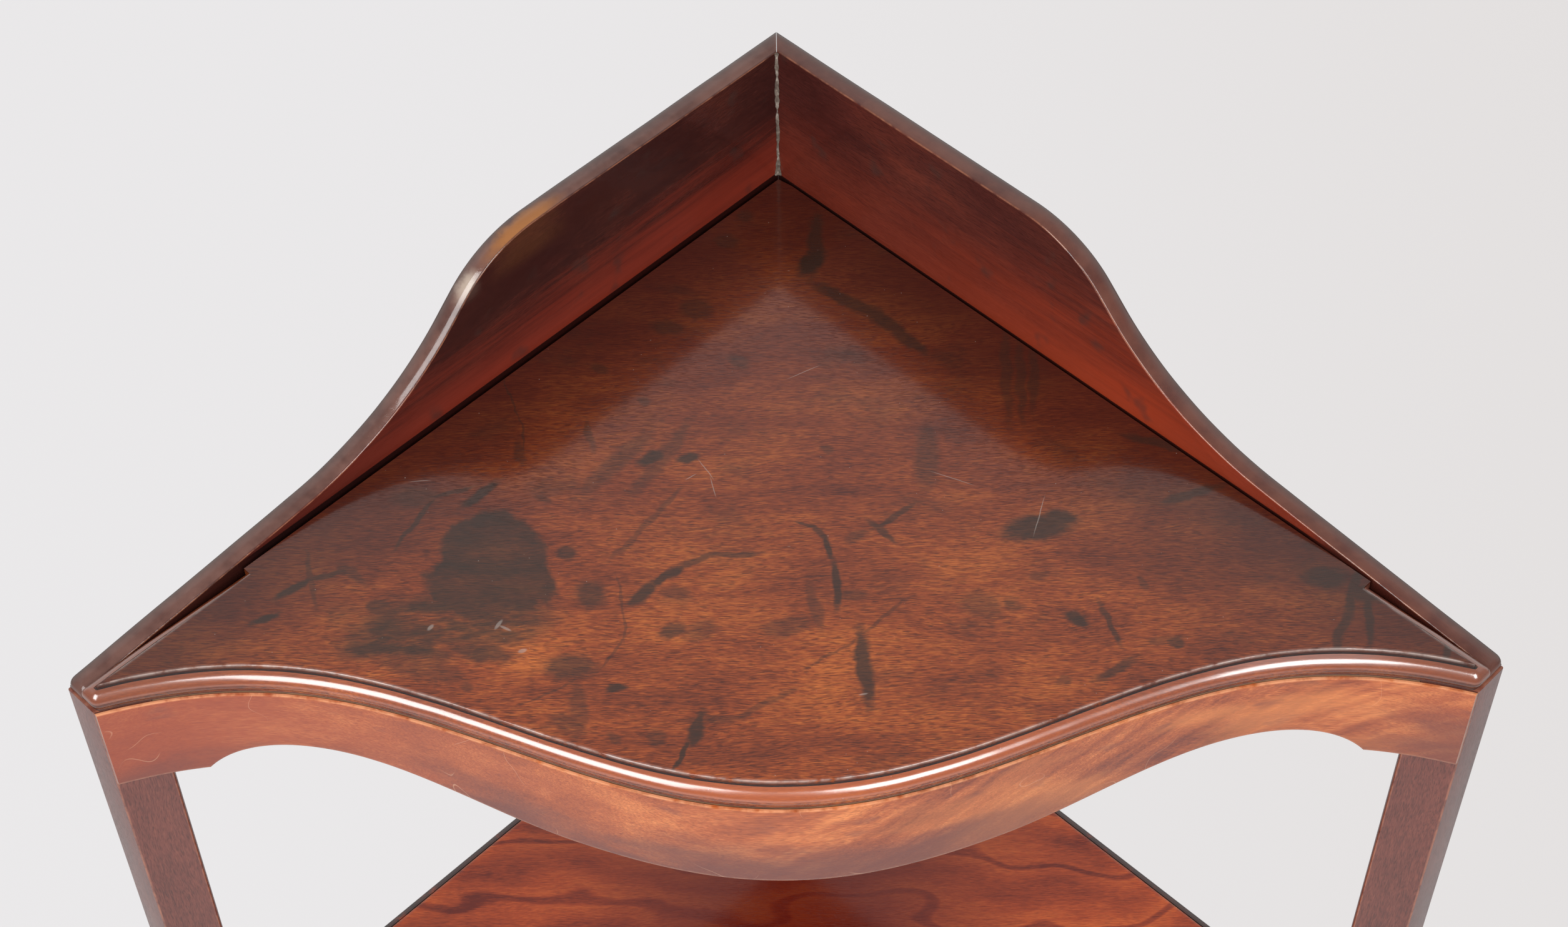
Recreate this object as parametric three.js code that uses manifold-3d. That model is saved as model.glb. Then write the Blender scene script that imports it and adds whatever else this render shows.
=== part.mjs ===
// Corner washstand in mahogany: a solid top with a moulded edge between two splashboards,
// a waved apron, three legs, a middle shelf over a frieze with one drawer, and an undertier.
// Millimetres, +Z up, front faces -Y. The pieces are laid out from the floor point below the
// outer back corner, where the two wall planes meet at a right angle, each running forward at
// 45 degrees. At the end the stand is moved so that its origin is the middle of its footprint.

import * as THREE from 'three';
import { mergeVertices } from 'three/addons/utils/BufferGeometryUtils.js';
import Module from 'manifold-3d';

// Overall plan
const halfWidth = 305; // outer corner of a front leg, from the middle line
const endFaceWidth = 19.95; // across a front leg's end face, square to its wall
const hollowInset = 73.4; // the front's two hollows lie this far inside the outer corners, along X
const bow = 62.7; // how far the middle of the front stands forward of its hollows

// Heights
const surfaceHeight = 850; // upper face of the top board
const tierDrop = 353; // from the top board's upper face to the middle shelf's
const undertierHeight = 162; // upper face of the undertier

// Clearances and cutters
const fit = 0.3; // gap between pieces that touch
const reveal = 0.8; // gap round the drawer
const overrun = 12; // how far a cutter passes what it cuts

// Boards with a moulded edge
const boardThickness = 12.5;
const boardSetback = 1; // board edge behind the front face of the apron
const quirkWidth = 6; // from the board's outer edge to the quirk beside the bead
const quirkDepth = 2.3; // the bead lies this far below the board's upper face
const returnLeft = 88; // length of the moulding's return along the left splashboard
const returnRight = 64;
const shelfThickness = 12.5;

// Splashboards
const splashThickness = 10;
const splashHeight = 80.5; // above the top board's upper face, at the back corner
const splashEndDrop = 6.5; // its front end lies this far below that face
const splashEndSetback = 1; // from the leg's end face
const splashLevelLength = 161.5; // level stretch from the back corner
const splashCrownRadius = 63.5;
const splashCoveRadius = 150;
const splashEndRadius = 5;
const splashFallAngle = THREE.MathUtils.degToRad(45.5);
const splashTailAngle = THREE.MathUtils.degToRad(6.7);

// Legs
const legFaceWidth = 22.3; // across the front face, measured along X
const legInnerDepth = 3; // of the inner face, measured along Y
const backLegWidth = 26;
const footHeight = 140; // the feet sweep outwards below this height
const footSplay = 26;
const footTaperShare = 0.16;

// Rails and glue blocks of the top frame
const railThickness = 15;
const railHeight = 54;
const blockWidth = 16;
const blockLength = 60;
const backBlockReach = 62;
const frontBlockOffset = 105;

// Apron
const facingThickness = 1.5;
const coreThickness = 14;
const earDepth = 52.5; // apron depth at the legs
const archDepth = 36.9; // apron depth at the two high points of its lower edge
const middleDepth = 53.5; // apron depth in the middle
const earInset = 39; // the ear's inner corner from the front arris of the leg
const coveWidth = 43; // from that corner to the high point
const coveLead = 13; // how steeply the cove leaves the corner
const middleFlat = 88; // half length of the lower edge's level middle stretch

// Frieze and drawer
const friezeHeight = 70;
const railDepth = 44; // of the drawer rail, front to back
const drawerRailThickness = 12;
const panelThickness = 14;
const drawerHalfWidth = 112;
const drawerFrontThickness = 18;
const drawerSideThickness = 7;
const drawerBackThickness = 7;
const drawerBottomThickness = 5;
const drawerBottomLift = 4; // the bottom panel lies this far above the sides' lower edges
const drawerBackClearance = 8; // from the drawer's back corners to the side rails
const runnerWidth = 22;
const runnerInset = 12; // the part of a runner that lies under the drawer
const guideWidth = 9;
const guideHeight = 10;
const stopWidth = 18;
const stopDepth = 6;
const stopHeight = 3.4;
const stopOffset = 60;

// Brass knobs
const knobRadius = 9;
const knobNeckRadius = 4;
const knobLength = 17;
const plateRadius = 11;
const plateThickness = 1.5;
const stemRadius = 2;
const nutRadius = 5;
const nutThickness = 3;

// Undertier
const undertierThickness = 12;
const armWidth = 22;
const armReach = 5; // the arms' ends run this far past the legs' inner corners
const sideHollow = 56; // how far the sides are hollowed
const undertierMiddleDepth = 250; // front of the platform, from the back corner

// Smoothness of curves
const frontSteps = 40;
const curveSteps = 10;
const beadSteps = 3;
const footSteps = 8;
const turnSteps = 24;
const solveSteps = 24;

const diagonalShare = Math.SQRT1_2;
const wallLength = halfWidth / diagonalShare;
const hollowOffset = halfWidth - hollowInset;
const endX = halfWidth - endFaceWidth * diagonalShare;
const endDepth = halfWidth + endFaceWidth * diagonalShare;
const hollowDepth = endDepth - bow * (1 + Math.cos(Math.PI * endX / hollowOffset)) / 2;
const legSetback = facingThickness + fit;

const frameTop = surfaceHeight - boardThickness - fit;
const shelfTop = surfaceHeight - tierDrop;
const friezeTop = shelfTop - shelfThickness - fit;
const drawerRailTop = friezeTop - friezeHeight;
const friezeBottom = drawerRailTop - drawerRailThickness;

const topFinish = { color: '#7a3a22', roughness: 0.28, metalness: 0 };
const apronFinish = { color: '#a2502e', roughness: 0.32, metalness: 0 };
const legFinish = { color: '#5f3027', roughness: 0.4, metalness: 0 };
const shelfFinish = { color: '#84402a', roughness: 0.35, metalness: 0 };
const carcassFinish = { color: '#a77f57', roughness: 0.75, metalness: 0 };
const brassFinish = { color: '#b08a48', roughness: 0.35, metalness: 1 };

const wasm = await Module();
wasm.setup();

const washstand = new THREE.Group();
washstand.name = 'corner_washstand';

// Adds one named piece with a material of its own.
function addPiece(name, geometry, finish) {
  const mesh = new THREE.Mesh(geometry, new THREE.MeshStandardMaterial(finish));
  mesh.name = name;
  washstand.add(mesh);
  return mesh;
}

// Turns a closed geometry into a solid that can be joined and cut.
function toSolid(geometry) {
  const bare = geometry.clone();
  bare.deleteAttribute('normal');
  bare.deleteAttribute('uv');
  const welded = mergeVertices(bare);
  return new wasm.Manifold(new wasm.Mesh({
    numProp: 3,
    vertProperties: Float32Array.from(welded.attributes.position.array),
    triVerts: Uint32Array.from(welded.index.array),
  }));
}

// Turns a solid back into a geometry.
function toGeometry(solid) {
  const mesh = solid.getMesh();
  const geometry = new THREE.BufferGeometry();
  geometry.setAttribute('position', new THREE.BufferAttribute(mesh.vertProperties, 3));
  geometry.setIndex(new THREE.BufferAttribute(mesh.triVerts, 1));
  geometry.computeVertexNormals();
  return geometry;
}

// Joins geometries into one.
function join(...geometries) {
  return toGeometry(geometries.map(toSolid).reduce((whole, next) => whole.add(next)));
}

// Cuts the later geometries out of the first.
function cut(geometry, ...cutters) {
  return toGeometry(cutters.map(toSolid).reduce((left, next) => left.subtract(next), toSolid(geometry)));
}

// Keeps what two geometries share.
function overlap(first, second) {
  return toGeometry(toSolid(first).intersect(toSolid(second)));
}

// A point on or inside a wall plane: side is 1 for the right wall and -1 for the left one.
function wallPoint(side, along, inset) {
  return new THREE.Vector2(
    side * (along - inset) * diagonalShare,
    -(along + inset) * diagonalShare,
  );
}

// How far along its wall a point of the plan lies.
function alongWall(x, y) {
  return (Math.abs(x) - y) * diagonalShare;
}

// How far inside its wall plane a point of the plan lies.
function insetFromWall(x, y) {
  return (-y - Math.abs(x)) * diagonalShare;
}

// The waved front line, or a line behind it.
function frontY(x, setback) {
  const wave = (1 + Math.cos(Math.PI * x / hollowOffset)) / 2;
  return setback - hollowDepth - bow * wave;
}

// Slope of the front line, as an angle about Z.
function frontAngle(x) {
  const steepness = bow * Math.PI / hollowOffset / 2;
  return Math.atan(steepness * Math.sin(Math.PI * x / hollowOffset));
}

// Where the front line meets the end face of a front leg.
function frontEndX(setback, endInset) {
  let x = halfWidth;
  for (let step = 0; step < solveSteps; step += 1) {
    x = (wallLength - endInset) / diagonalShare + frontY(x, setback);
  }
  return x;
}

// Where the front line meets a line that runs inside a wall plane.
function frontSideX(setback, wallInset) {
  let x = halfWidth;
  for (let step = 0; step < solveSteps; step += 1) {
    x = -frontY(x, setback) - wallInset / diagonalShare;
  }
  return x;
}

// Points along the front line between two places.
function frontPoints(fromX, toX, setback, steps = frontSteps) {
  return Array.from({ length: steps + 1 }, (_, index) => {
    const x = THREE.MathUtils.lerp(fromX, toX, index / steps);
    return new THREE.Vector2(x, frontY(x, setback));
  });
}

// A band that follows the front line.
function frontBand(fromX, toX, setback, thickness, steps = frontSteps) {
  return new THREE.Shape([
    ...frontPoints(fromX, toX, setback, steps),
    ...frontPoints(toX, fromX, setback + thickness, steps),
  ]);
}

// The stand's whole outline, inset from its walls, front and ends.
function planShape(wallInset, setback, endInset) {
  const cornerX = frontEndX(setback, endInset);
  const endAlong = wallLength - endInset;
  return new THREE.Shape([
    wallPoint(1, wallInset, wallInset),
    wallPoint(1, endAlong, wallInset),
    ...frontPoints(cornerX, -cornerX, setback),
    wallPoint(-1, endAlong, wallInset),
  ]);
}

// The part of the plan inside the quirk, where the side lines run on to the front line.
function flatShape(wallInset, setback) {
  const cornerX = frontSideX(setback, wallInset);
  return new THREE.Shape([
    wallPoint(1, wallInset, wallInset),
    ...frontPoints(cornerX, -cornerX, setback),
  ]);
}

// A plan shape given thickness between two heights.
function slab(shape, bottom, top) {
  const geometry = new THREE.ExtrudeGeometry(shape, { depth: top - bottom, bevelEnabled: false });
  return geometry.translate(0, 0, bottom);
}

// A slab whose edges are rounded to a full bead.
function beadSlab(shape, bottom, top) {
  const radius = (top - bottom) / 2 - fit;
  const geometry = new THREE.ExtrudeGeometry(shape, {
    depth: top - bottom - 2 * radius,
    bevelThickness: radius,
    bevelSize: radius,
    bevelOffset: -radius,
    bevelSegments: beadSteps,
  });
  return geometry.translate(0, 0, bottom + radius);
}

// A block between two heights whose plan is a rectangle square to the front.
function block(centreX, backY, width, depth, bottom, top) {
  const geometry = new THREE.BoxGeometry(width, depth, top - bottom);
  return geometry.translate(centreX, backY - depth / 2, (bottom + top) / 2);
}

// Leg sections

const legInnerX = endX - legFaceWidth;
const legCornerY = frontY(legInnerX, legSetback) + legInnerDepth;
const legBackAlong = alongWall(legInnerX, legCornerY);

// Section of a front leg: end face, waved front face, inner face, back face, wall face.
function frontLegShape(side) {
  const points = [
    wallPoint(1, wallLength, 0),
    ...frontPoints(frontEndX(legSetback, 0), legInnerX, legSetback, curveSteps),
    new THREE.Vector2(legInnerX, legCornerY),
    wallPoint(1, legBackAlong, 0),
  ];
  return new THREE.Shape(points.map((point) => new THREE.Vector2(side * point.x, point.y)));
}

// The corner that a front leg takes out of a board that is fitted round it.
function frontLegNotch(side) {
  const innerX = legInnerX - fit;
  const backAlong = legBackAlong - fit;
  const outerX = halfWidth + 2 * overrun;
  const outerY = frontY(innerX, 0) - 2 * overrun;
  const points = [
    wallPoint(1, backAlong, -overrun),
    new THREE.Vector2(innerX, innerX - backAlong / diagonalShare),
    new THREE.Vector2(innerX, outerY),
    new THREE.Vector2(outerX, outerY),
    new THREE.Vector2(outerX, wallPoint(1, backAlong, -overrun).y),
  ];
  return new THREE.Shape(points.map((point) => new THREE.Vector2(side * point.x, point.y)));
}

// A square with one corner in the back corner of the stand.
function cornerSquare(width) {
  return new THREE.Shape([
    wallPoint(1, 0, 0),
    wallPoint(1, width, 0),
    wallPoint(1, width, width),
    wallPoint(-1, width, 0),
  ]);
}

// Cutters that let a board pass round all three legs.
function legNotches(bottom, top) {
  return [
    slab(frontLegNotch(1), bottom - overrun, top + overrun),
    slab(frontLegNotch(-1), bottom - overrun, top + overrun),
    slab(cornerSquare(backLegWidth + fit), bottom - overrun, top + overrun),
  ];
}

// A front leg: straight down to the foot, which sweeps along its wall and tapers.
function frontLeg(side) {
  const levels = footSteps + 1;
  const geometry = new THREE.ExtrudeGeometry(frontLegShape(side), {
    depth: levels,
    steps: levels,
    bevelEnabled: false,
  });
  const centre = wallPoint(side, (wallLength + legBackAlong) / 2, legInnerDepth / 2);
  const position = geometry.attributes.position;
  for (let index = 0; index < position.count; index += 1) {
    const level = Math.round(position.getZ(index));
    const isTop = level === levels;
    const height = isTop ? frameTop : footHeight * level / footSteps;
    const share = isTop ? 0 : 1 - level / footSteps;
    const shift = wallPoint(side, footSplay * share * share, 0);
    const scale = 1 - footTaperShare * share;
    position.setXYZ(
      index,
      centre.x + (position.getX(index) - centre.x) * scale + shift.x,
      centre.y + (position.getY(index) - centre.y) * scale + shift.y,
      height,
    );
  }
  geometry.computeVertexNormals();
  return geometry;
}

addPiece('leg_back', slab(cornerSquare(backLegWidth), 0, frameTop), legFinish);
addPiece('leg_left', frontLeg(-1), legFinish);
addPiece('leg_right', frontLeg(1), legFinish);

// Top frame

// A rail along a wall between the back leg and a front leg.
function wallRail(side, bottom, top) {
  return slab(new THREE.Shape([
    wallPoint(side, backLegWidth + fit, 0),
    wallPoint(side, legBackAlong - fit, 0),
    wallPoint(side, legBackAlong - fit, railThickness),
    wallPoint(side, backLegWidth + fit, railThickness),
  ]), bottom, top);
}

addPiece('top_rail_left', wallRail(-1, frameTop - railHeight, frameTop), carcassFinish);
addPiece('top_rail_right', wallRail(1, frameTop - railHeight, frameTop), carcassFinish);

// Outline of the apron seen from the front: ears at the legs, a cove up from each ear,
// and a wave down to the deeper middle.
function apronElevation() {
  const shape = new THREE.Shape();
  const earX = endX - earInset;
  const archX = earX - coveWidth;
  const outerX = halfWidth + overrun;
  const archZ = frameTop - archDepth;
  shape.moveTo(-outerX, frameTop + overrun);
  shape.lineTo(-outerX, frameTop - earDepth);
  shape.lineTo(-earX, frameTop - earDepth);
  shape.quadraticCurveTo(-earX + coveLead, archZ, -archX, archZ);
  for (let step = 1; step < frontSteps; step += 1) {
    const x = THREE.MathUtils.lerp(-archX, archX, step / frontSteps);
    const reach = Math.max(Math.abs(x) - middleFlat, 0) / (archX - middleFlat);
    shape.lineTo(x, archZ - (middleDepth - archDepth) * (1 + Math.cos(Math.PI * reach)) / 2);
  }
  shape.lineTo(archX, archZ);
  shape.quadraticCurveTo(earX - coveLead, archZ, earX, frameTop - earDepth);
  shape.lineTo(outerX, frameTop - earDepth);
  shape.lineTo(outerX, frameTop + overrun);
  return shape;
}

// The apron's elevation as a solid that reaches through the front of the stand.
function apronCutter() {
  const depth = hollowDepth + bow;
  const geometry = new THREE.ExtrudeGeometry(apronElevation(), {
    depth: depth + overrun,
    bevelEnabled: false,
    curveSegments: curveSteps,
  });
  return geometry.rotateX(Math.PI / 2);
}

// A band along the front, cut to the apron's elevation.
function apronBand(shape) {
  const deepest = Math.max(earDepth, middleDepth);
  return overlap(slab(shape, frameTop - deepest - overrun, frameTop), apronCutter());
}

// The facing reaches to the ends of the legs, so its own ends follow their end faces.
function facingShape() {
  const innerX = frontEndX(facingThickness, 0);
  return new THREE.Shape([
    ...frontPoints(-endX, endX, 0),
    ...frontPoints(innerX, -innerX, facingThickness),
  ]);
}

const coreHalfLength = legInnerX - fit;
const coreBack = legSetback + coreThickness;

addPiece('apron_facing', apronBand(facingShape()), apronFinish);
addPiece(
  'apron_core',
  apronBand(frontBand(-coreHalfLength, coreHalfLength, legSetback, coreThickness)),
  carcassFinish,
);

// Glue blocks under the top board

const blockBottom = frameTop - blockWidth;

for (const [name, side] of [['glue_block_left', -1], ['glue_block_right', 1]]) {
  const middle = (backLegWidth + legBackAlong) / 2;
  const start = middle - blockLength / 2;
  const inner = railThickness + fit;
  addPiece(name, slab(new THREE.Shape([
    wallPoint(side, start, inner),
    wallPoint(side, start + blockLength, inner),
    wallPoint(side, start + blockLength, inner + blockWidth),
    wallPoint(side, start, inner + blockWidth),
  ]), blockBottom, frameTop), carcassFinish);
}

for (const [name, side] of [['glue_block_front_left', -1], ['glue_block_front_right', 1]]) {
  const centre = side * frontBlockOffset;
  const from = centre - blockLength / 2;
  const to = centre + blockLength / 2;
  addPiece(
    name,
    slab(frontBand(from, to, coreBack + fit, blockWidth, curveSteps), blockBottom, frameTop),
    carcassFinish,
  );
}

addPiece('glue_block_back', slab(new THREE.Shape([
  wallPoint(1, backLegWidth + fit, railThickness + fit),
  wallPoint(1, backBlockReach, railThickness + fit),
  wallPoint(-1, backBlockReach, railThickness + fit),
  wallPoint(-1, backLegWidth + fit, railThickness + fit),
  wallPoint(1, backLegWidth + fit, backLegWidth + fit),
]), blockBottom, frameTop), carcassFinish);

// Top board and splashboards

// The plain back part of the top board, whose edges run full thickness to the splashboards.
function plainBackShape(wallInset) {
  const inner = wallInset + quirkWidth + fit;
  return new THREE.Shape([
    wallPoint(1, wallInset, wallInset),
    wallPoint(1, wallLength - returnRight, wallInset),
    wallPoint(1, wallLength - returnRight, inner),
    wallPoint(-1, wallLength - returnLeft, inner),
    wallPoint(-1, wallLength - returnLeft, wallInset),
  ]);
}

const boardInset = splashThickness + fit;
const boardBottom = surfaceHeight - boardThickness;

addPiece('top_board', join(
  beadSlab(planShape(boardInset, boardSetback, boardSetback), boardBottom, surfaceHeight - quirkDepth),
  slab(flatShape(boardInset + quirkWidth, boardSetback + quirkWidth), boardBottom, surfaceHeight),
  slab(plainBackShape(boardInset), boardBottom, surfaceHeight),
), topFinish);

// Outline of a splashboard seen square to its wall: level, over the crown, down a straight
// fall, through the cove, and along a gently falling tail to a rounded end.
function splashElevation() {
  const top = surfaceHeight + splashHeight;
  const bottom = boardBottom;
  const endAlong = wallLength - splashEndSetback;
  const end = surfaceHeight - splashEndDrop;
  const fallSin = Math.sin(splashFallAngle);
  const fallCos = Math.cos(splashFallAngle);
  const tailSin = Math.sin(splashTailAngle);
  const tailCos = Math.cos(splashTailAngle);
  // The straights take up what the two arcs leave of the run and of the drop.
  const run = endAlong - splashLevelLength - splashCrownRadius * fallSin
    - splashCoveRadius * (fallSin - tailSin);
  const drop = top - end - splashCrownRadius * (1 - fallCos)
    - splashCoveRadius * (tailCos - fallCos);
  const fallLength = (drop * tailCos - run * tailSin) / Math.sin(splashFallAngle - splashTailAngle);
  const coveStart = new THREE.Vector2(
    splashLevelLength + splashCrownRadius * fallSin + fallLength * fallCos,
    top - splashCrownRadius * (1 - fallCos) - fallLength * fallSin,
  );
  const coveCentre = new THREE.Vector2(fallSin, fallCos).multiplyScalar(splashCoveRadius).add(coveStart);
  const quarter = Math.PI / 2;
  const shape = new THREE.Shape();
  shape.moveTo(0, bottom);
  shape.lineTo(0, top);
  shape.lineTo(splashLevelLength, top);
  shape.absarc(
    splashLevelLength, top - splashCrownRadius, splashCrownRadius,
    quarter, quarter - splashFallAngle, true,
  );
  shape.absarc(
    coveCentre.x, coveCentre.y, splashCoveRadius,
    -quarter - splashFallAngle, -quarter - splashTailAngle, false,
  );
  const radius = Math.min(splashEndRadius, (end - bottom) / 2);
  shape.lineTo(endAlong - radius, end + radius * Math.tan(splashTailAngle));
  shape.quadraticCurveTo(endAlong, end, endAlong, end - radius);
  shape.lineTo(endAlong, bottom);
  return shape;
}

// A splashboard, mitred where it meets the other one.
function splashboard(side) {
  const geometry = new THREE.ExtrudeGeometry(splashElevation(), {
    depth: splashThickness,
    bevelEnabled: false,
    curveSegments: curveSteps,
  });
  const along = new THREE.Vector3(side * diagonalShare, -diagonalShare, 0);
  const up = new THREE.Vector3(0, 0, 1);
  const across = along.clone().cross(up);
  geometry.translate(0, 0, side < 0 ? -splashThickness : 0);
  geometry.applyMatrix4(new THREE.Matrix4().makeBasis(along, up, across));
  const reach = 2 * (splashThickness + overrun);
  const height = 2 * (surfaceHeight + splashHeight);
  const mitre = new THREE.BoxGeometry(reach, 2 * reach, height);
  mitre.translate(-side * (reach - fit) / 2, 0, height / 2);
  return cut(geometry, mitre);
}

addPiece('splashboard_left', splashboard(-1), topFinish);
addPiece('splashboard_right', splashboard(1), topFinish);

// Middle shelf and frieze

const shelfBottom = shelfTop - shelfThickness;

addPiece('mid_shelf', cut(join(
  beadSlab(planShape(0, -boardSetback, 0), shelfBottom, shelfTop - quirkDepth),
  overlap(
    slab(flatShape(quirkWidth, quirkWidth - boardSetback), shelfBottom, shelfTop),
    slab(planShape(0, -boardSetback, 0), shelfBottom - overrun, shelfTop + overrun),
  ),
), ...legNotches(shelfBottom, shelfTop)), shelfFinish);

addPiece('mid_rail_left', wallRail(-1, friezeBottom, friezeTop), legFinish);
addPiece('mid_rail_right', wallRail(1, friezeBottom, friezeTop), legFinish);

// The drawer rail's back corners are trimmed to lie between the side rails.
addPiece('drawer_rail', overlap(
  slab(frontBand(-coreHalfLength, coreHalfLength, legSetback, railDepth), friezeBottom, drawerRailTop),
  slab(flatShape(railThickness + fit, 0), friezeBottom - overrun, drawerRailTop + overrun),
), legFinish);

// Turned knobs, their plates and the nuts on their stems

// A turned profile, given as radius and height pairs from end to end of the axis.
function turned(profile) {
  const geometry = new THREE.LatheGeometry(
    profile.map(([radius, height]) => new THREE.Vector2(radius, height)),
    turnSteps,
  );
  // The lathe turns about Y with heights to the back, so the knob faces -Y.
  return geometry.rotateX(Math.PI);
}

// The distances below are measured forwards from the face that carries the knob.
const plateSeat = 2 * fit;
const knobSeat = plateSeat + plateThickness + fit;

// Places a turned piece on the front line at a given height.
function onFront(geometry, x, height) {
  geometry.rotateZ(frontAngle(x));
  return geometry.translate(x, frontY(x, legSetback), height);
}

// How long a stem is inside a board of the given thickness, measured along the stem.
function boreLength(x, thickness) {
  return thickness * Math.cos(frontAngle(x));
}

// The hole for a stem, cut through the board behind the knob.
function stemBore(x, height, thickness) {
  const reach = thickness + overrun;
  return onFront(turned([
    [0, -reach], [stemRadius + fit, -reach], [stemRadius + fit, overrun], [0, overrun],
  ]), x, height);
}

// Adds a knob with its plate and nut where the board of the given thickness carries it.
function addKnob(suffix, x, height, thickness) {
  const nutSeat = boreLength(x, thickness) + fit;
  const stemEnd = nutSeat + nutThickness;
  const tip = knobSeat + knobLength;
  const bulge = knobSeat + knobLength / 2;
  addPiece(`knob_${suffix}`, onFront(turned([
    [0, -stemEnd],
    [stemRadius, -stemEnd],
    [stemRadius, knobSeat],
    [knobNeckRadius, knobSeat],
    [knobNeckRadius, (knobSeat + bulge) / 2],
    [knobRadius, bulge],
    [knobRadius, (bulge + tip) / 2],
    [knobRadius - stemRadius, tip - stemRadius / 2],
    [stemRadius, tip],
    [0, tip],
  ]), x, height), brassFinish);
  addPiece(`knob_plate_${suffix}`, onFront(turned([
    [stemRadius + fit, plateSeat],
    [plateRadius, plateSeat],
    [plateRadius, plateSeat + plateThickness / 2],
    [plateRadius - plateThickness, plateSeat + plateThickness],
    [stemRadius + fit, plateSeat + plateThickness],
    [stemRadius + fit, plateSeat],
  ]), x, height), brassFinish);
  addPiece(`knob_nut_${suffix}`, onFront(turned([
    [stemRadius + fit, -stemEnd],
    [nutRadius, -stemEnd],
    [nutRadius, -nutSeat],
    [stemRadius + fit, -nutSeat],
    [stemRadius + fit, -stemEnd],
  ]), x, height), brassFinish);
}

// Fixed panels that stand for drawer fronts on either side of the real one

const knobHeight = (drawerRailTop + friezeTop) / 2;
const panelInnerX = drawerHalfWidth + reveal;
const panelMiddleX = (panelInnerX + coreHalfLength) / 2;

for (const [suffix, side] of [['left', -1], ['right', 1]]) {
  const panel = slab(
    frontBand(side * panelInnerX, side * coreHalfLength, legSetback, panelThickness, frontSteps / 2),
    drawerRailTop + fit,
    friezeTop - fit,
  );
  const x = side * panelMiddleX;
  addPiece(
    `frieze_panel_${suffix}`,
    cut(panel, stemBore(x, knobHeight, panelThickness)),
    apronFinish,
  );
  addKnob(suffix, x, knobHeight, panelThickness);
}

// Runners carry the drawer's sides, guides keep it straight, stops end its way in

// Where a line behind the frieze, at a distance from the middle, meets a side rail.
function railFaceY(x, clearance) {
  return -(Math.abs(x) + (railThickness + clearance) / diagonalShare);
}

// A strip from the back of a front piece to the side rail behind it.
function strip(side, innerX, width, setback, bottom, top) {
  const outerX = innerX + width;
  return slab(new THREE.Shape([
    new THREE.Vector2(side * innerX, frontY(innerX, setback)),
    new THREE.Vector2(side * innerX, railFaceY(innerX, fit)),
    new THREE.Vector2(side * outerX, railFaceY(outerX, fit)),
    new THREE.Vector2(side * outerX, frontY(outerX, setback)),
  ]), bottom, top);
}

const runnerInnerX = drawerHalfWidth - runnerInset;
const railBack = legSetback + railDepth + fit;
const panelBack = legSetback + panelThickness + fit;

for (const [suffix, side] of [['left', -1], ['right', 1]]) {
  addPiece(
    `runner_${suffix}`,
    strip(side, runnerInnerX, runnerWidth, railBack, friezeBottom, drawerRailTop),
    carcassFinish,
  );
  addPiece(
    `drawer_guide_${suffix}`,
    strip(
      side, panelInnerX, guideWidth, panelBack,
      drawerRailTop + fit, drawerRailTop + guideHeight,
    ),
    carcassFinish,
  );
  addPiece(`drawer_stop_${suffix}`, block(
    side * stopOffset,
    frontY(stopOffset + stopWidth / 2, legSetback + drawerFrontThickness + reveal) + stopDepth,
    stopWidth,
    stopDepth,
    drawerRailTop + fit,
    drawerRailTop + stopHeight,
  ), carcassFinish);
}

// Drawer

const drawerBottomEdge = drawerRailTop + reveal;
const drawerTopEdge = friezeTop - reveal;
const drawerFrontBack = legSetback + drawerFrontThickness;
const sideInnerX = drawerHalfWidth - drawerSideThickness;
const drawerBackY = railFaceY(drawerHalfWidth, drawerBackClearance);
const sideTopEdge = drawerTopEdge - drawerBottomLift;
const panelBottom = drawerBottomEdge + drawerBottomLift;
const panelTop = panelBottom + drawerBottomThickness;
const drawerFrontBand = frontBand(
  -drawerHalfWidth, drawerHalfWidth, legSetback, drawerFrontThickness,
);

addPiece('drawer_front', cut(
  slab(drawerFrontBand, drawerBottomEdge, drawerTopEdge),
  stemBore(0, knobHeight, drawerFrontThickness),
), apronFinish);
addKnob('drawer', 0, knobHeight, drawerFrontThickness);

for (const [suffix, side] of [['left', -1], ['right', 1]]) {
  addPiece(`drawer_side_${suffix}`, slab(new THREE.Shape([
    new THREE.Vector2(side * sideInnerX, frontY(sideInnerX, drawerFrontBack + fit)),
    new THREE.Vector2(side * sideInnerX, drawerBackY),
    new THREE.Vector2(side * drawerHalfWidth, drawerBackY),
    new THREE.Vector2(side * drawerHalfWidth, frontY(drawerHalfWidth, drawerFrontBack + fit)),
  ]), drawerBottomEdge, sideTopEdge), carcassFinish);
}

const insideHalfWidth = sideInnerX - fit;

addPiece('drawer_back', block(
  0, drawerBackY, 2 * insideHalfWidth, drawerBackThickness, panelTop + fit, sideTopEdge,
), carcassFinish);

addPiece('drawer_bottom', slab(new THREE.Shape([
  new THREE.Vector2(-insideHalfWidth, drawerBackY),
  ...frontPoints(-insideHalfWidth, insideHalfWidth, drawerFrontBack + fit),
  new THREE.Vector2(insideHalfWidth, drawerBackY),
]), panelBottom, panelTop), carcassFinish);

// Undertier: a platform hollowed on all three sides, with an arm to each leg

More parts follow.
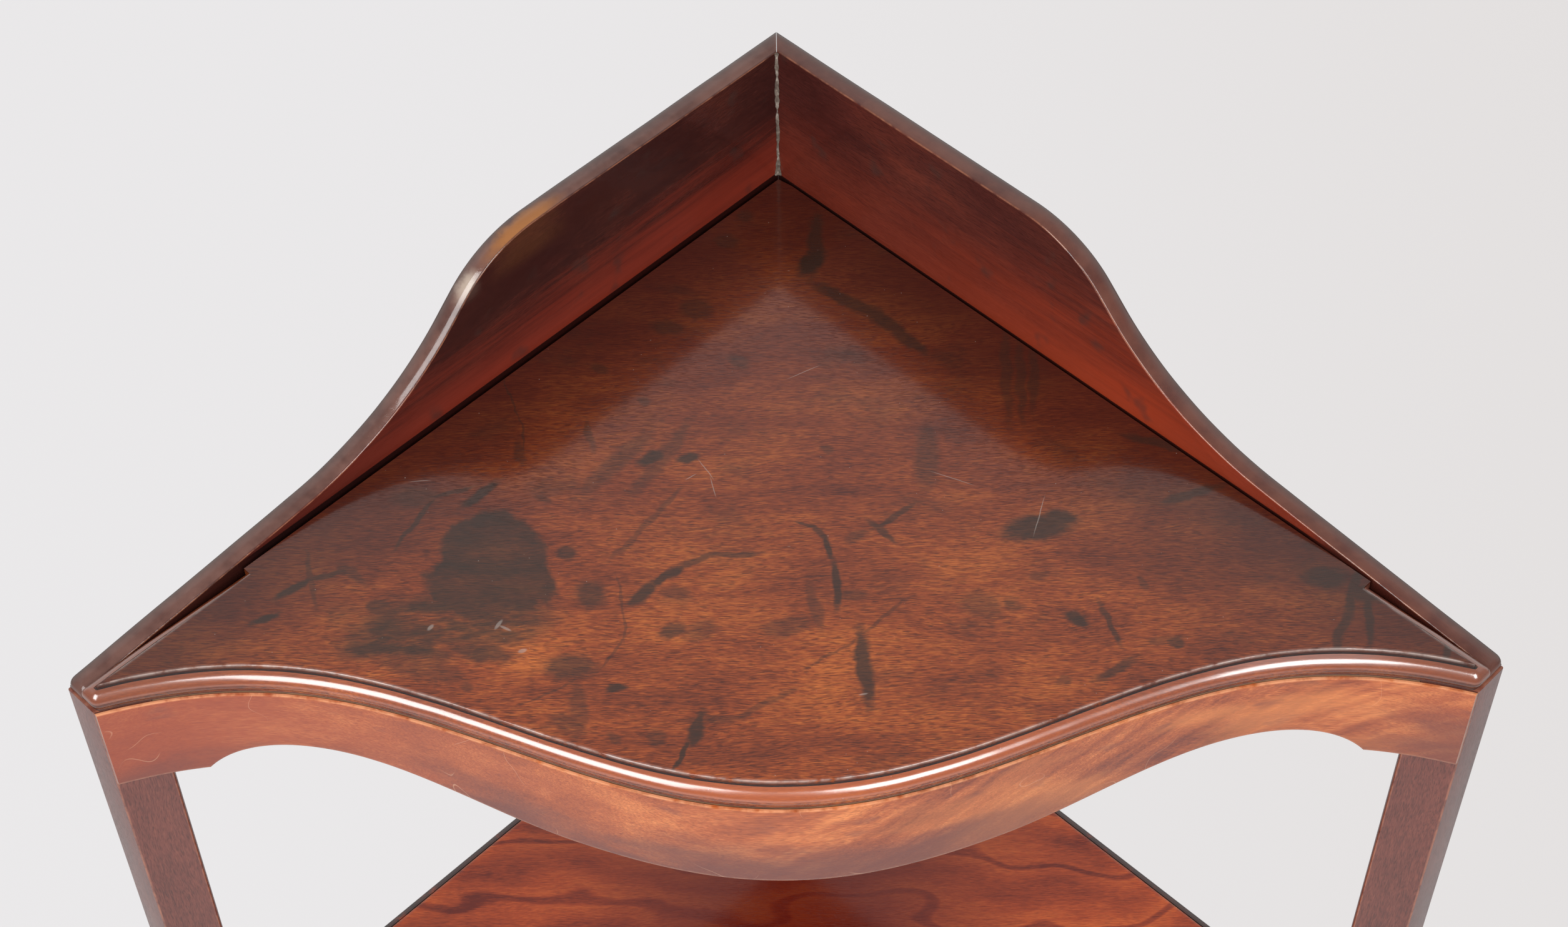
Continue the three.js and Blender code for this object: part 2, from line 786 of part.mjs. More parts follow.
// Outline of the undertier; its arms end inside the legs, which then notch them.
function undertierShape() {
  const half = armWidth / 2;
  const backY = -backLegWidth * diagonalShare;
  const along = legBackAlong + armReach;
  const inset = insetFromWall(legInnerX, legCornerY);
  const wallSide = wallPoint(1, along, inset - half);
  const frontSide = wallPoint(1, along, inset + half);
  const sideMiddle = wallPoint(1, (backLegWidth + legBackAlong) / 2, 2 * sideHollow);
  const frontPull = -2 * undertierMiddleDepth - frontSide.y;
  const shape = new THREE.Shape();
  shape.moveTo(half, backY);
  shape.quadraticCurveTo(sideMiddle.x, sideMiddle.y, wallSide.x, wallSide.y);
  shape.lineTo(frontSide.x, frontSide.y);
  shape.quadraticCurveTo(0, frontPull, -frontSide.x, frontSide.y);
  shape.lineTo(-wallSide.x, wallSide.y);
  shape.quadraticCurveTo(-sideMiddle.x, sideMiddle.y, -half, backY);
  return shape;
}

const undertierBottom = undertierHeight - undertierThickness;
const undertierBlank = new THREE.ExtrudeGeometry(undertierShape(), {
  depth: undertierThickness,
  bevelEnabled: false,
  curveSegments: 2 * curveSteps,
}).translate(0, 0, undertierBottom);

addPiece(
  'undertier',
  cut(undertierBlank, ...legNotches(undertierBottom, undertierHeight)),
  legFinish,
);

// The origin: the middle of the footprint, on the floor.
const extent = new THREE.Box3().setFromObject(washstand);
washstand.position.y = -(extent.min.y + extent.max.y) / 2;

export default washstand;
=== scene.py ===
import logging
import math
from abc import ABC, abstractmethod
from collections.abc import Callable, Iterable, Sequence
from dataclasses import dataclass, replace
from enum import Enum
from functools import lru_cache

import bmesh
import bpy
from mathutils import Matrix, Vector, noise


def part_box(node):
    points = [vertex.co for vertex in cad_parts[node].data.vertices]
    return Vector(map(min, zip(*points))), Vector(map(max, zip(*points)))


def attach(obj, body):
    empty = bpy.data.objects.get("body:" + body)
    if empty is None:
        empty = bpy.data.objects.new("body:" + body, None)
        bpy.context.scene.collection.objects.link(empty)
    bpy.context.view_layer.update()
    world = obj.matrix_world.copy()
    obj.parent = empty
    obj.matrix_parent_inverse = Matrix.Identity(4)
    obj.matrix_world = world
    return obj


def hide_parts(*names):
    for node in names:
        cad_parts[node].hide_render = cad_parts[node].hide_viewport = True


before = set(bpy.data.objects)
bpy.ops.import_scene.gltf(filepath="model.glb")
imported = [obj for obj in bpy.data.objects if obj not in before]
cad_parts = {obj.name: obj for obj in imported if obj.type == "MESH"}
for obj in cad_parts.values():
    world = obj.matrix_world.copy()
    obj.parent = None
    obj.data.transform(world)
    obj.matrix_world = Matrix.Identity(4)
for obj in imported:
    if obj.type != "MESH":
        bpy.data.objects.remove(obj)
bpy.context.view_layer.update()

log = logging.getLogger("washstand")

MM = 0.001
DIAGONAL = math.sqrt(0.5)
SPLASH_THICKNESS = 10.0
SETTLING_STEPS = 40
STAND = "stand"
DRAWER = "drawer"

Colour = tuple[float, float, float]
Flat = tuple[float, float]
Place = tuple[float, float, float]


# Plan of the stand


@dataclass(frozen=True)
class Plan:
    """Outline of the stand in millimetres, laid out from the floor below its outer back corner."""

    corner_y: float
    half_width: float = 305.0
    end_face_width: float = 19.95
    hollow_inset: float = 73.4
    bow: float = 62.7
    surface: float = 850.0
    frame_top: float = 837.2
    shelf_top: float = 497.0
    frieze_top: float = 484.2
    drawer_rail_top: float = 414.2
    facing: float = 1.5
    leg_setback: float = 1.8
    leg_face_width: float = 22.3
    leg_inner_depth: float = 3.0
    back_leg_width: float = 26.0
    fit: float = 0.3

    @property
    def wall_length(self) -> float:
        """Length of a wall side, from the back corner to the outer corner of a front leg."""
        return self.half_width / DIAGONAL

    @property
    def hollow_offset(self) -> float:
        """Distance of the front's hollows from the middle line."""
        return self.half_width - self.hollow_inset

    @property
    def hollow_depth(self) -> float:
        """Distance of the front's hollows from the back corner.

        Returns:
            The distance that lets the front line meet both end faces.
        """
        end_x = self.half_width - self.end_face_width * DIAGONAL
        end_depth = self.half_width + self.end_face_width * DIAGONAL
        return end_depth - self.bow * (1 + math.cos(math.pi * end_x / self.hollow_offset)) / 2

    def front_y(self, x: float, setback: float = 0.0) -> float:
        """Return where the waved front line, or a line behind it, lies at x."""
        wave = (1 + math.cos(math.pi * x / self.hollow_offset)) / 2
        return setback - self.hollow_depth - self.bow * wave

    def front_angle(self, x: float) -> float:
        """Return the slope of the front line at x as an angle about Z."""
        steepness = self.bow * math.pi / self.hollow_offset / 2
        return math.atan(steepness * math.sin(math.pi * x / self.hollow_offset))

    def front_end_x(self, setback: float, end_inset: float) -> float:
        """Find where the front line meets the end face of a front leg.

        Args:
            setback: How far the line lies behind the front.
            end_inset: How far inside the end face the meeting is.

        Returns:
            The x on the right side.
        """
        x = self.half_width
        for _ in range(SETTLING_STEPS):
            x = (self.wall_length - end_inset) / DIAGONAL + self.front_y(x, setback)
        return x

    def front_side_x(self, setback: float, wall_inset: float) -> float:
        """Find where the front line meets a line that runs inside a wall plane.

        Args:
            setback: How far the line lies behind the front.
            wall_inset: How far inside the wall plane the other line runs.

        Returns:
            The x on the right side.
        """
        x = self.half_width
        for _ in range(SETTLING_STEPS):
            x = -self.front_y(x, setback) - wall_inset / DIAGONAL
        return x

    @property
    def leg_corner(self) -> Flat:
        """Inner back corner of the right front leg's face."""
        x = self.front_end_x(0, 0) - self.leg_face_width
        return x, self.front_y(x, self.leg_setback) + self.leg_inner_depth

    def wall_point(self, side: int, along: float, inset: float) -> Flat:
        """Return a point of the plan by its distance along a wall and inside it.

        Args:
            side: 1 for the right wall and -1 for the left one.
            along: Distance from the back corner along the wall.
            inset: Distance inside the wall plane.

        Returns:
            The x and y of the point.
        """
        return side * (along - inset) * DIAGONAL, -(along + inset) * DIAGONAL

    def along_wall(self, point: Flat) -> float:
        """Return how far along its wall a point lies."""
        return (abs(point[0]) - point[1]) * DIAGONAL

    def row(self, x: float, y: float, z: float) -> Vector:
        """Return the point in metres in the row frame."""
        return Vector((x * MM, (y + self.corner_y) * MM, z * MM))


PLAN = Plan(corner_y=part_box("leg_back")[1].y / MM)
APEX_Y = PLAN.corner_y - SPLASH_THICKNESS / DIAGONAL


def lerp(start: float, end: float, share: float) -> float:
    """Return the value a share of the way from start to end."""
    return start + (end - start) * share


def between(start: Flat, end: Flat, share: float) -> Flat:
    """Return the point a share of the way from start to end."""
    return lerp(start[0], end[0], share), lerp(start[1], end[1], share)


def bend(start: Flat, pull: Flat, end: Flat, share: float) -> Flat:
    """Return a point of a curve that leaves start towards pull and ends at end."""
    return between(between(start, pull, share), between(pull, end, share), share)


def shares(count: int) -> list[float]:
    """Return evenly spaced shares from 0 to 1, both ends included."""
    return [index / count for index in range(count + 1)]


def ripple(at: Vector, size: float, seed: float = 0.0) -> float:
    """Return smooth noise between about -1 and 1.

    Args:
        at: The place in metres.
        size: Size of a lump in millimetres.
        seed: Shift that gives another pattern.

    Returns:
        The noise at the place.
    """
    return noise.noise(at / (size * MM) + Vector((seed, seed * 0.7, -seed)))


# Shader graph


class Signal:
    """An output of a node. Arithmetic on it adds Math nodes, or Vector Math nodes on vectors."""

    def __init__(self, graph: "Graph", socket: bpy.types.NodeSocket) -> None:
        """Wrap a socket of the graph."""
        self.graph = graph
        self.socket = socket

    def _combine(self, operation: str, first: "Operand", second: "Operand") -> "Signal":
        """Add the node for an operation.

        Args:
            operation: The operation of the node.
            first: The left operand.
            second: The right operand.

        Returns:
            The result.
        """
        vector = any(
            isinstance(term, tuple) or (isinstance(term, Signal) and term.socket.type == "VECTOR")
            for term in (first, second)
        )
        kind = "ShaderNodeVectorMath" if vector else "ShaderNodeMath"
        return self.graph.node(kind, {"operation": operation}, {0: first, 1: second})

    def __add__(self, other: "Operand") -> "Signal":
        """Add."""
        return self._combine("ADD", self, other)

    def __radd__(self, other: "Operand") -> "Signal":
        """Add, reflected."""
        return self._combine("ADD", other, self)

    def __sub__(self, other: "Operand") -> "Signal":
        """Subtract."""
        return self._combine("SUBTRACT", self, other)

    def __rsub__(self, other: "Operand") -> "Signal":
        """Subtract, reflected."""
        return self._combine("SUBTRACT", other, self)

    def __mul__(self, other: "Operand") -> "Signal":
        """Multiply."""
        return self._combine("MULTIPLY", self, other)

    def __rmul__(self, other: "Operand") -> "Signal":
        """Multiply, reflected."""
        return self._combine("MULTIPLY", other, self)

    def __abs__(self) -> "Signal":
        """Take the absolute value."""
        return self.graph.node("ShaderNodeMath", {"operation": "ABSOLUTE"}, {0: self})

    def maximum(self, other: "Operand") -> "Signal":
        """Return the larger of two numbers."""
        return self._combine("MAXIMUM", self, other)

    def mask(self, low: float, high: float) -> "Signal":
        """Return a smooth step.

        Args:
            low: Where the step is 0.
            high: Where it is 1, which may be below low.

        Returns:
            A number from 0 to 1.
        """
        return self.graph.node(
            "ShaderNodeMapRange",
            {"interpolation_type": "SMOOTHSTEP"},
            {"Value": self, "From Min": low, "From Max": high, "To Min": 0.0, "To Max": 1.0},
        )


Operand = Signal | float | tuple[float, float, float]


class Graph:
    """The node tree of a material or of the world."""

    def __init__(self, holder: bpy.types.Material | bpy.types.World) -> None:
        """Empty the holder's tree.

        Args:
            holder: The material or the world.
        """
        self.holder = holder
        self.holder.use_nodes = True
        self.tree = self.holder.node_tree
        self.tree.nodes.clear()

    @classmethod
    def of_material(cls, name: str) -> "Graph":
        """Return the graph of a new material."""
        return cls(bpy.data.materials.new(name))

    def node(
        self,
        kind: str,
        settings: dict[str, object] | None = None,
        inputs: dict[int | str, object] | None = None,
        output: int | str = 0,
    ) -> Signal:
        """Add a node.

        Args:
            kind: The node's type.
            settings: Its own settings, which are set first; "stops" gives a ramp its colours.
            inputs: Values or signals by socket index or name.
            output: The output that is wrapped.

        Returns:
            The wrapped output, which is empty for a node that has none.
        """
        added = self.tree.nodes.new(kind)
        for key, setting in (settings or {}).items():
            if key == "stops":
                self._set_stops(added.color_ramp, setting)
            else:
                setattr(added, key, setting)
        for key, value in (inputs or {}).items():
            self._feed(added.inputs[key], value)
        return Signal(self, added.outputs[output] if added.outputs else None)

    def _set_stops(self, ramp: bpy.types.ColorRamp, stops: Sequence[tuple[float, Colour]]) -> None:
        """Give a ramp its stops.

        Args:
            ramp: The ramp.
            stops: The place and the colour of each stop.
        """
        while len(ramp.elements) < len(stops):
            ramp.elements.new(1.0)
        for element, (place, colour) in zip(ramp.elements, stops):
            element.position = place
            element.color = (*colour, 1.0)

    def _feed(self, socket: bpy.types.NodeSocket, value: object) -> None:
        """Link a signal to a socket, or set the socket's own value.

        Args:
            socket: The socket.
            value: A signal, number, colour or vector.
        """
        if isinstance(value, Signal):
            self.tree.links.new(value.socket, socket)
        elif socket.type == "RGBA":
            socket.default_value = (*value, 1.0)
        elif socket.type == "VECTOR" and isinstance(value, (int, float)):
            socket.default_value = (value,) * 3
        else:
            socket.default_value = value

    def place(self) -> Signal:
        """Return the place on the stand in millimetres."""
        return self.node("ShaderNodeTexCoord", output="Object") * (1 / MM)

    def attribute(self, name: str) -> Signal:
        """Return a number kept at the mesh's vertices."""
        return self.node("ShaderNodeAttribute", {"attribute_name": name}, output="Fac")

    def part(self, vector: Signal, axis: int) -> Signal:
        """Return one component of a vector."""
        return self.node("ShaderNodeSeparateXYZ", inputs={0: vector}, output=axis)

    def vector(self, x: Operand, y: Operand, z: Operand) -> Signal:
        """Return a vector made of three numbers."""
        return self.node("ShaderNodeCombineXYZ", inputs={0: x, 1: y, 2: z})

    def turned(self, vector: Signal, rotation: Place) -> Signal:
        """Return the vector turned.

        Args:
            vector: The vector.
            rotation: Euler angles in radians.

        Returns:
            The turned vector.
        """
        return self.node(
            "ShaderNodeMapping", {"vector_type": "POINT"}, {"Vector": vector, "Rotation": rotation}
        )

    def noise(
        self, vector: Signal, size: Place | float, detail: float = 2.0, rough: float = 0.5
    ) -> Signal:
        """Return noise from 0 to 1.

        Args:
            vector: The place in millimetres.
            size: Size of a lump in millimetres, along each axis or all alike.
            detail: Octaves of finer noise.
            rough: Weight of the finer octaves.

        Returns:
            The noise.
        """
        sizes = size if isinstance(size, tuple) else (size,) * 3
        scaled = vector * tuple(1 / length for length in sizes)
        return self.node(
            "ShaderNodeTexNoise",
            {"noise_dimensions": "3D"},
            {"Vector": scaled, "Scale": 1.0, "Detail": detail, "Roughness": rough},
        )

    def mix(self, factor: Operand, first: "Tint", second: "Tint") -> Signal:
        """Mix two colours.

        Args:
            factor: 0 for the first colour and 1 for the second.
            first: A colour.
            second: Another colour.

        Returns:
            The mixed colour.
        """
        settings = {"data_type": "RGBA", "blend_type": "MIX", "clamp_factor": True}
        return self.node("ShaderNodeMix", settings, {0: factor, 6: first, 7: second}, output=2)

    def ramp(self, value: Signal, stops: Sequence[tuple[float, Colour]]) -> Signal:
        """Return the colour of a ramp at a value."""
        return self.node("ShaderNodeValToRGB", {"stops": stops}, {"Fac": value})

    def bump(self, height: Signal, distance: float) -> Signal:
        """Return the normal that a height in shares of a distance in millimetres gives."""
        inputs = {"Height": height, "Distance": distance * MM, "Strength": 1.0}
        return self.node("ShaderNodeBump", inputs=inputs)

    def shader(self, **inputs: object) -> Signal:
        """Return a Principled shader.

        Args:
            **inputs: Values or signals by socket name, with underscores for spaces.

        Returns:
            The shader.
        """
        return self.node(
            "ShaderNodeBsdfPrincipled",
            inputs={name.replace("_", " "): value for name, value in inputs.items()},
        )

    def end(self, shader: Signal, kind: str = "ShaderNodeOutputMaterial") -> object:
        """End the tree with a shader and return its holder."""
        self.node(kind, inputs={"Surface": shader})
        return self.holder

    def surface(self, **inputs: object) -> bpy.types.Material:
        """End the tree with a Principled shader that has these inputs."""
        return self.end(self.shader(**inputs))


Tint = Signal | Colour


# Finishes


class Grain(Enum):
    """Which way the grain runs, as the turn that brings it onto X."""

    ACROSS = (0.0, 0.0, 0.0)
    UPRIGHT = (0.0, math.pi / 2, 0.0)
    LEFT_WALL = (0.0, 0.0, math.radians(135))
    RIGHT_WALL = (0.0, 0.0, math.radians(45))
    FRONT_TO_BACK = (0.0, 0.0, math.radians(-90))


class Finish(ABC):
    """A finish that can be put on a piece."""

    @abstractmethod
    def build(self) -> bpy.types.Material:
        """Make the material."""


@lru_cache(maxsize=None)
def made(finish: Finish) -> bpy.types.Material:
    """Return the material of a finish, made once."""
    return finish.build()


@dataclass(frozen=True)
class Mahogany(Finish):
    """Old polished mahogany: pores, grain bands, broad shades, worn arrises with painted sheen, dirt
    with painted shade.
    """

    name: str
    grain: Grain = Grain.ACROSS
    deep: Colour = (0.066, 0.011, 0.006)
    body: Colour = (0.275, 0.052, 0.012)
    bright: Colour = (0.570, 0.152, 0.028)
    worn_and_sheen: Colour = (0.42, 0.16, 0.07)
    dirt_and_shade: Colour = (0.028, 0.024, 0.023)
    pores: float = 0.55
    contrast: float = 1.0
    roughness: float = 0.10
    polish: float = 0.10
    polish_roughness: float = 0.07
    fibres: float = 1.0
    relief: float = 0.022
    seed: float = 0.0

    def build(self) -> bpy.types.Material:
        """Make the material.

        Returns:
            The new material.
        """
        graph = Graph.of_material(self.name)
        place = graph.place()
        fibre = graph.turned(place, self.grain.value) + (self.seed, self.seed * 1.7, -self.seed)
        wander = graph.noise(fibre, (90.0, 38.0, 38.0), 2.0) - 0.5
        fibre = fibre + graph.vector(0.0, wander * 12.0, wander * -8.0)
        dash = graph.noise(fibre, (5.6, 0.58, 0.58), 2.0, 0.65)
        streak = graph.noise(fibre, (30.0, 1.9, 1.9), 2.0)
        pore = graph.noise(fibre, (4.4, 0.38, 0.38), 0.0)
        fine = (dash - 0.5) * (1.20 * self.fibres) + (streak - 0.5) * (0.35 * self.fibres)
        tone = self.figure(graph, place, fibre) + fine
        colour = graph.ramp(tone, ((0.14, self.deep), (0.50, self.body), (0.88, self.bright)))
        fleck = pore.mask(0.53, 0.66) * self.pores
        colour = graph.mix(fleck, colour, tuple(0.45 * part for part in self.deep))
        colour = self.age(graph, place, colour)
        patches = graph.noise(place, 7.0, 3.0, 0.6)
        # Worn arrises are paler, partly a painted highlight along them; dirt darkens, partly as
        # painted shade in quirks, gaps and under mouldings.
        wear_and_sheen = graph.attribute("wear_and_sheen") * patches.mask(0.28, 0.62)
        dirt_and_shade = graph.attribute("dirt_and_shade") * patches.mask(0.10, 0.46)
        colour = graph.mix(wear_and_sheen, colour, self.worn_and_sheen)
        colour = graph.mix(dirt_and_shade, colour, self.dirt_and_shade)
        smear = graph.noise(place, (60.0, 45.0, 45.0), 4.0, 0.6)
        rough = self.roughness + (smear - 0.5) * 0.07 + dirt_and_shade * 0.16 + fleck * 0.08
        height = dash * 0.35 + streak * 0.5 + pore.mask(0.55, 0.72) * -0.6 + smear * 1.5
        return graph.surface(
            Base_Color=colour,
            Roughness=rough,
            Normal=graph.bump(height, self.relief),
            IOR=1.48,
            Coat_Weight=graph.attribute("gloss") * (1.0 - self.polish) + self.polish,
            Coat_Roughness=self.polish_roughness,
            Coat_IOR=2.1,
        )

    def figure(self, graph: Graph, place: Signal, fibre: Signal) -> Signal:
        """Shade the wood broadly.

        Args:
            graph: The material's graph.
            place: The place in millimetres, not used here.
            fibre: The same place, turned along the grain.

        Returns:
            The shading, around one half.
        """
        broad = graph.noise(fibre, (120.0, 60.0, 60.0), 2.0)
        patch = graph.noise(fibre, (44.0, 20.0, 20.0), 2.0)
        bands = graph.noise(fibre, (70.0, 5.0, 5.0), 2.0, 0.6)
        return (
            0.5
            + (broad - 0.5) * (0.60 * self.contrast)
            + (patch - 0.5) * (0.60 * self.contrast)
            + (bands - 0.5) * (0.25 * self.contrast)
        )

    def age(self, graph: Graph, place: Signal, colour: Signal) -> Signal:
        """Return the colour with the marks of use that this finish has."""
        return colour


@dataclass(frozen=True)
class Mark:
    """A stain: an ellipse on the board's upper face, in millimetres and degrees."""

    x: float
    y: float
    half_length: float
    half_width: float
    angle: float


def marks(*rows: tuple[float, float, float, float, float]) -> tuple[Mark, ...]:
    """Return stains from rows of their five numbers."""
    return tuple(Mark(*row) for row in rows)


def nearness(graph: Graph, flat: Signal, group: Iterable[Mark]) -> Signal:
    """Measure how near the nearest mark is: 1 in its middle and 0.5 on its edge.

    Args:
        graph: The material's graph.
        flat: The place on the board in millimetres, with no height.
        group: The marks.

    Returns:
        The nearness.
    """
    near: Signal | None = None
    for mark in group:
        local = graph.node(
            "ShaderNodeMapping",
            {"vector_type": "TEXTURE"},
            {
                "Vector": flat,
                "Location": (mark.x, mark.y, 0.0),
                "Rotation": (0.0, 0.0, math.radians(mark.angle)),
                "Scale": (2 * mark.half_length, 2 * mark.half_width, 1.0),
            },
        )
        ball = graph.node(
            "ShaderNodeTexGradient", {"gradient_type": "SPHERICAL"}, {0: local}, output="Fac"
        )
        near = ball if near is None else near.maximum(ball)
    return near


# Stains on the top board, and pale scratches.
DARK_MARKS = marks(
    (-134, -17, 10, 2.1, 41), (-58, 2, 6, 3.2, 14), (-42, 2, 5, 2.9, 9), (-61, -73, 8, 2.8, 51),
    (-51, -64, 9, 1.9, 40), (22, -70, 12, 2.0, -88), (33, -114, 19, 2.9, -85),
    (-37, -144, 8, 2.7, 72), (-43, -157, 8, 1.0, 70), (-222, -84, 6, 1.7, 27),
    (111, -40, 15, 6.3, 13), (121, -35, 8, 3.5, -6), (124, -90, 5, 2.6, -31),
    (15, 121, 8, 4.4, 55), (-71, -123, 4, 2.0, 11), (19, -49, 6, 1.3, -73),
    (-211, -68, 9, 2.0, 37),
)
MEDIUM_MARKS = marks(
    (-161, -33, 15, 1.1, 61), (-146, -16, 9, 1.1, 21), (-39, -56, 8, 1.7, 22),
    (-23, -53, 12, 1.4, 3), (10, -37, 5, 0.9, -23), (16, -42, 6, 1.3, -53),
    (-94, -51, 4, 3.4, -21), (-91, -112, 10, 5.8, -1), (-83, -74, 7, 5.6, -63),
    (-48, -94, 5, 3.1, 16), (-128, -103, 13, 4.6, -11), (-168, -93, 15, 5.2, 9),
    (-198, -61, 10, 1.6, 21), (243, -80, 14, 2.2, -108), (235, -100, 13, 2.0, -113),
    (248, -93, 14, 1.8, -100), (249, -80, 7, 4.0, -8), (138, -93, 12, 1.4, -70),
    (138, -117, 10, 2.1, 31), (17, 132, 18, 3.4, -95), (32, 96, 18, 3.4, -35),
    (49, 82, 14, 3.7, -50), (59, 70, 10, 3.3, -50), (180, -23, 14, 2.5, 19),
    (170, 6, 16, 2.2, -20), (233, -70, 9, 5.2, -7), (43, -41, 8, 1.6, -49),
    (49, -33, 11, 1.4, 36), (-174, -79, 5, 3.7, -15), (-107, -46, 7, 2.5, -65),
    (165, -103, 3, 2.4, -1), (278, -111, 5, 1.4, -104), (-127, -104, 4, 3.6, -1),
)
FAINT_MARKS = marks(
    (-75, -1, 22, 4.1, 50), (-54, 2, 22, 3.5, 59), (-86, 16, 8, 1.6, -78),
    (-162, -18, 9, 5.7, -8), (-68, -46, 10, 1.4, 51), (-59, -34, 9, 1.6, 56),
    (-51, -23, 9, 1.1, 49), (13, -82, 11, 2.5, -77), (29, -76, 6, 2.5, 4),
    (-36, -94, 7, 4.3, 16), (1, -92, 10, 4.3, 10), (-87, -135, 13, 3.3, -85),
    (-92, -140, 6, 3.9, -28), (-54, -148, 4, 3.3, -50), (-71, -148, 3, 1.8, -50),
    (-47, -74, 6, 4.0, -10), (32, -44, 5, 2.8, 24), (103, 50, 25, 2.3, -92),
    (109, 45, 23, 2.0, -93), (115, 48, 19, 2.0, -94), (-39, 92, 7, 5.7, -16),
    (-25, 136, 5, 4.1, -26), (-16, 153, 4, 3.4, -26), (110, -67, 4, 2.5, -1),
    (98, -82, 4, 2.8, -24), (116, -123, 3, 2.4, -1), (158, -103, 3, 1.8, -1),
    (84, -83, 8, 6.1, -21), (-30, -139, 12, 1.8, 3), (-10, -133, 15, 1.5, 29),
    (-204, -63, 14, 1.2, -76), (-187, -61, 8, 2.5, -42), (-83, 56, 4, 3.0, -25),
    (-62, 36, 3, 2.0, -53), (20, 6, 3, 2.2, -42), (-117, 6, 6, 2.3, -75),
    (-147, -115, 5, 1.2, -91), (-134, -121, 3, 2.1, -18), (-19, 59, 5, 3.0, -29),
    (-157, -109, 19, 6.1, -21), (154, -72, 4, 1.5, -83), (-52, 81, 7, 4.0, -16),
    (64, 1, 17, 4.8, -91), (-107, -19, 4, 1.9, -33), (41, -89, 17, 0.8, -138),
    (20, -106, 14, 0.6, -144), (-70, -76, 11, 0.6, -80), (-68, -91, 7, 0.6, -89),
    (-73, -105, 11, 0.6, -122), (-84, -116, 9, 0.6, -149), (-100, -125, 11, 0.6, -155),
    (-123, 39, 14, 0.5, -71), (-117, 17, 12, 0.5, -79),
)
SCRATCHES = marks(
    (-34, -5, 7, 0.25, -60), (-31, -15, 6, 0.25, -78), (-161, -9, 5, 0.2, 4),
    (112, -34, 12, 0.25, 74), (-41, -9, 3, 0.25, 35), (32, -128, 2, 0.5, 10),
    (-122, -89, 3, 0.9, 60), (-119, -91, 3, 0.7, -30), (-111, -103, 2, 1.1, 20),
    (-151, -90, 2, 1.0, 50), (10, 52, 9, 0.2, 28), (75, -12, 11, 0.2, -24),
)

RING_DISC = marks((-128, -52, 22, 24, 0), (-133, -66, 21, 21, 0), (-118, -69, 18, 16, 0))
RING_TAIL = marks((-151, -91, 30, 15, 6), (-124, -84, 22, 14, 0), (-170, -96, 16, 9, 10))
RING_RIM = marks((-107, -49, 3.2, 8, 8), (-129, -104, 5, 5, 0))


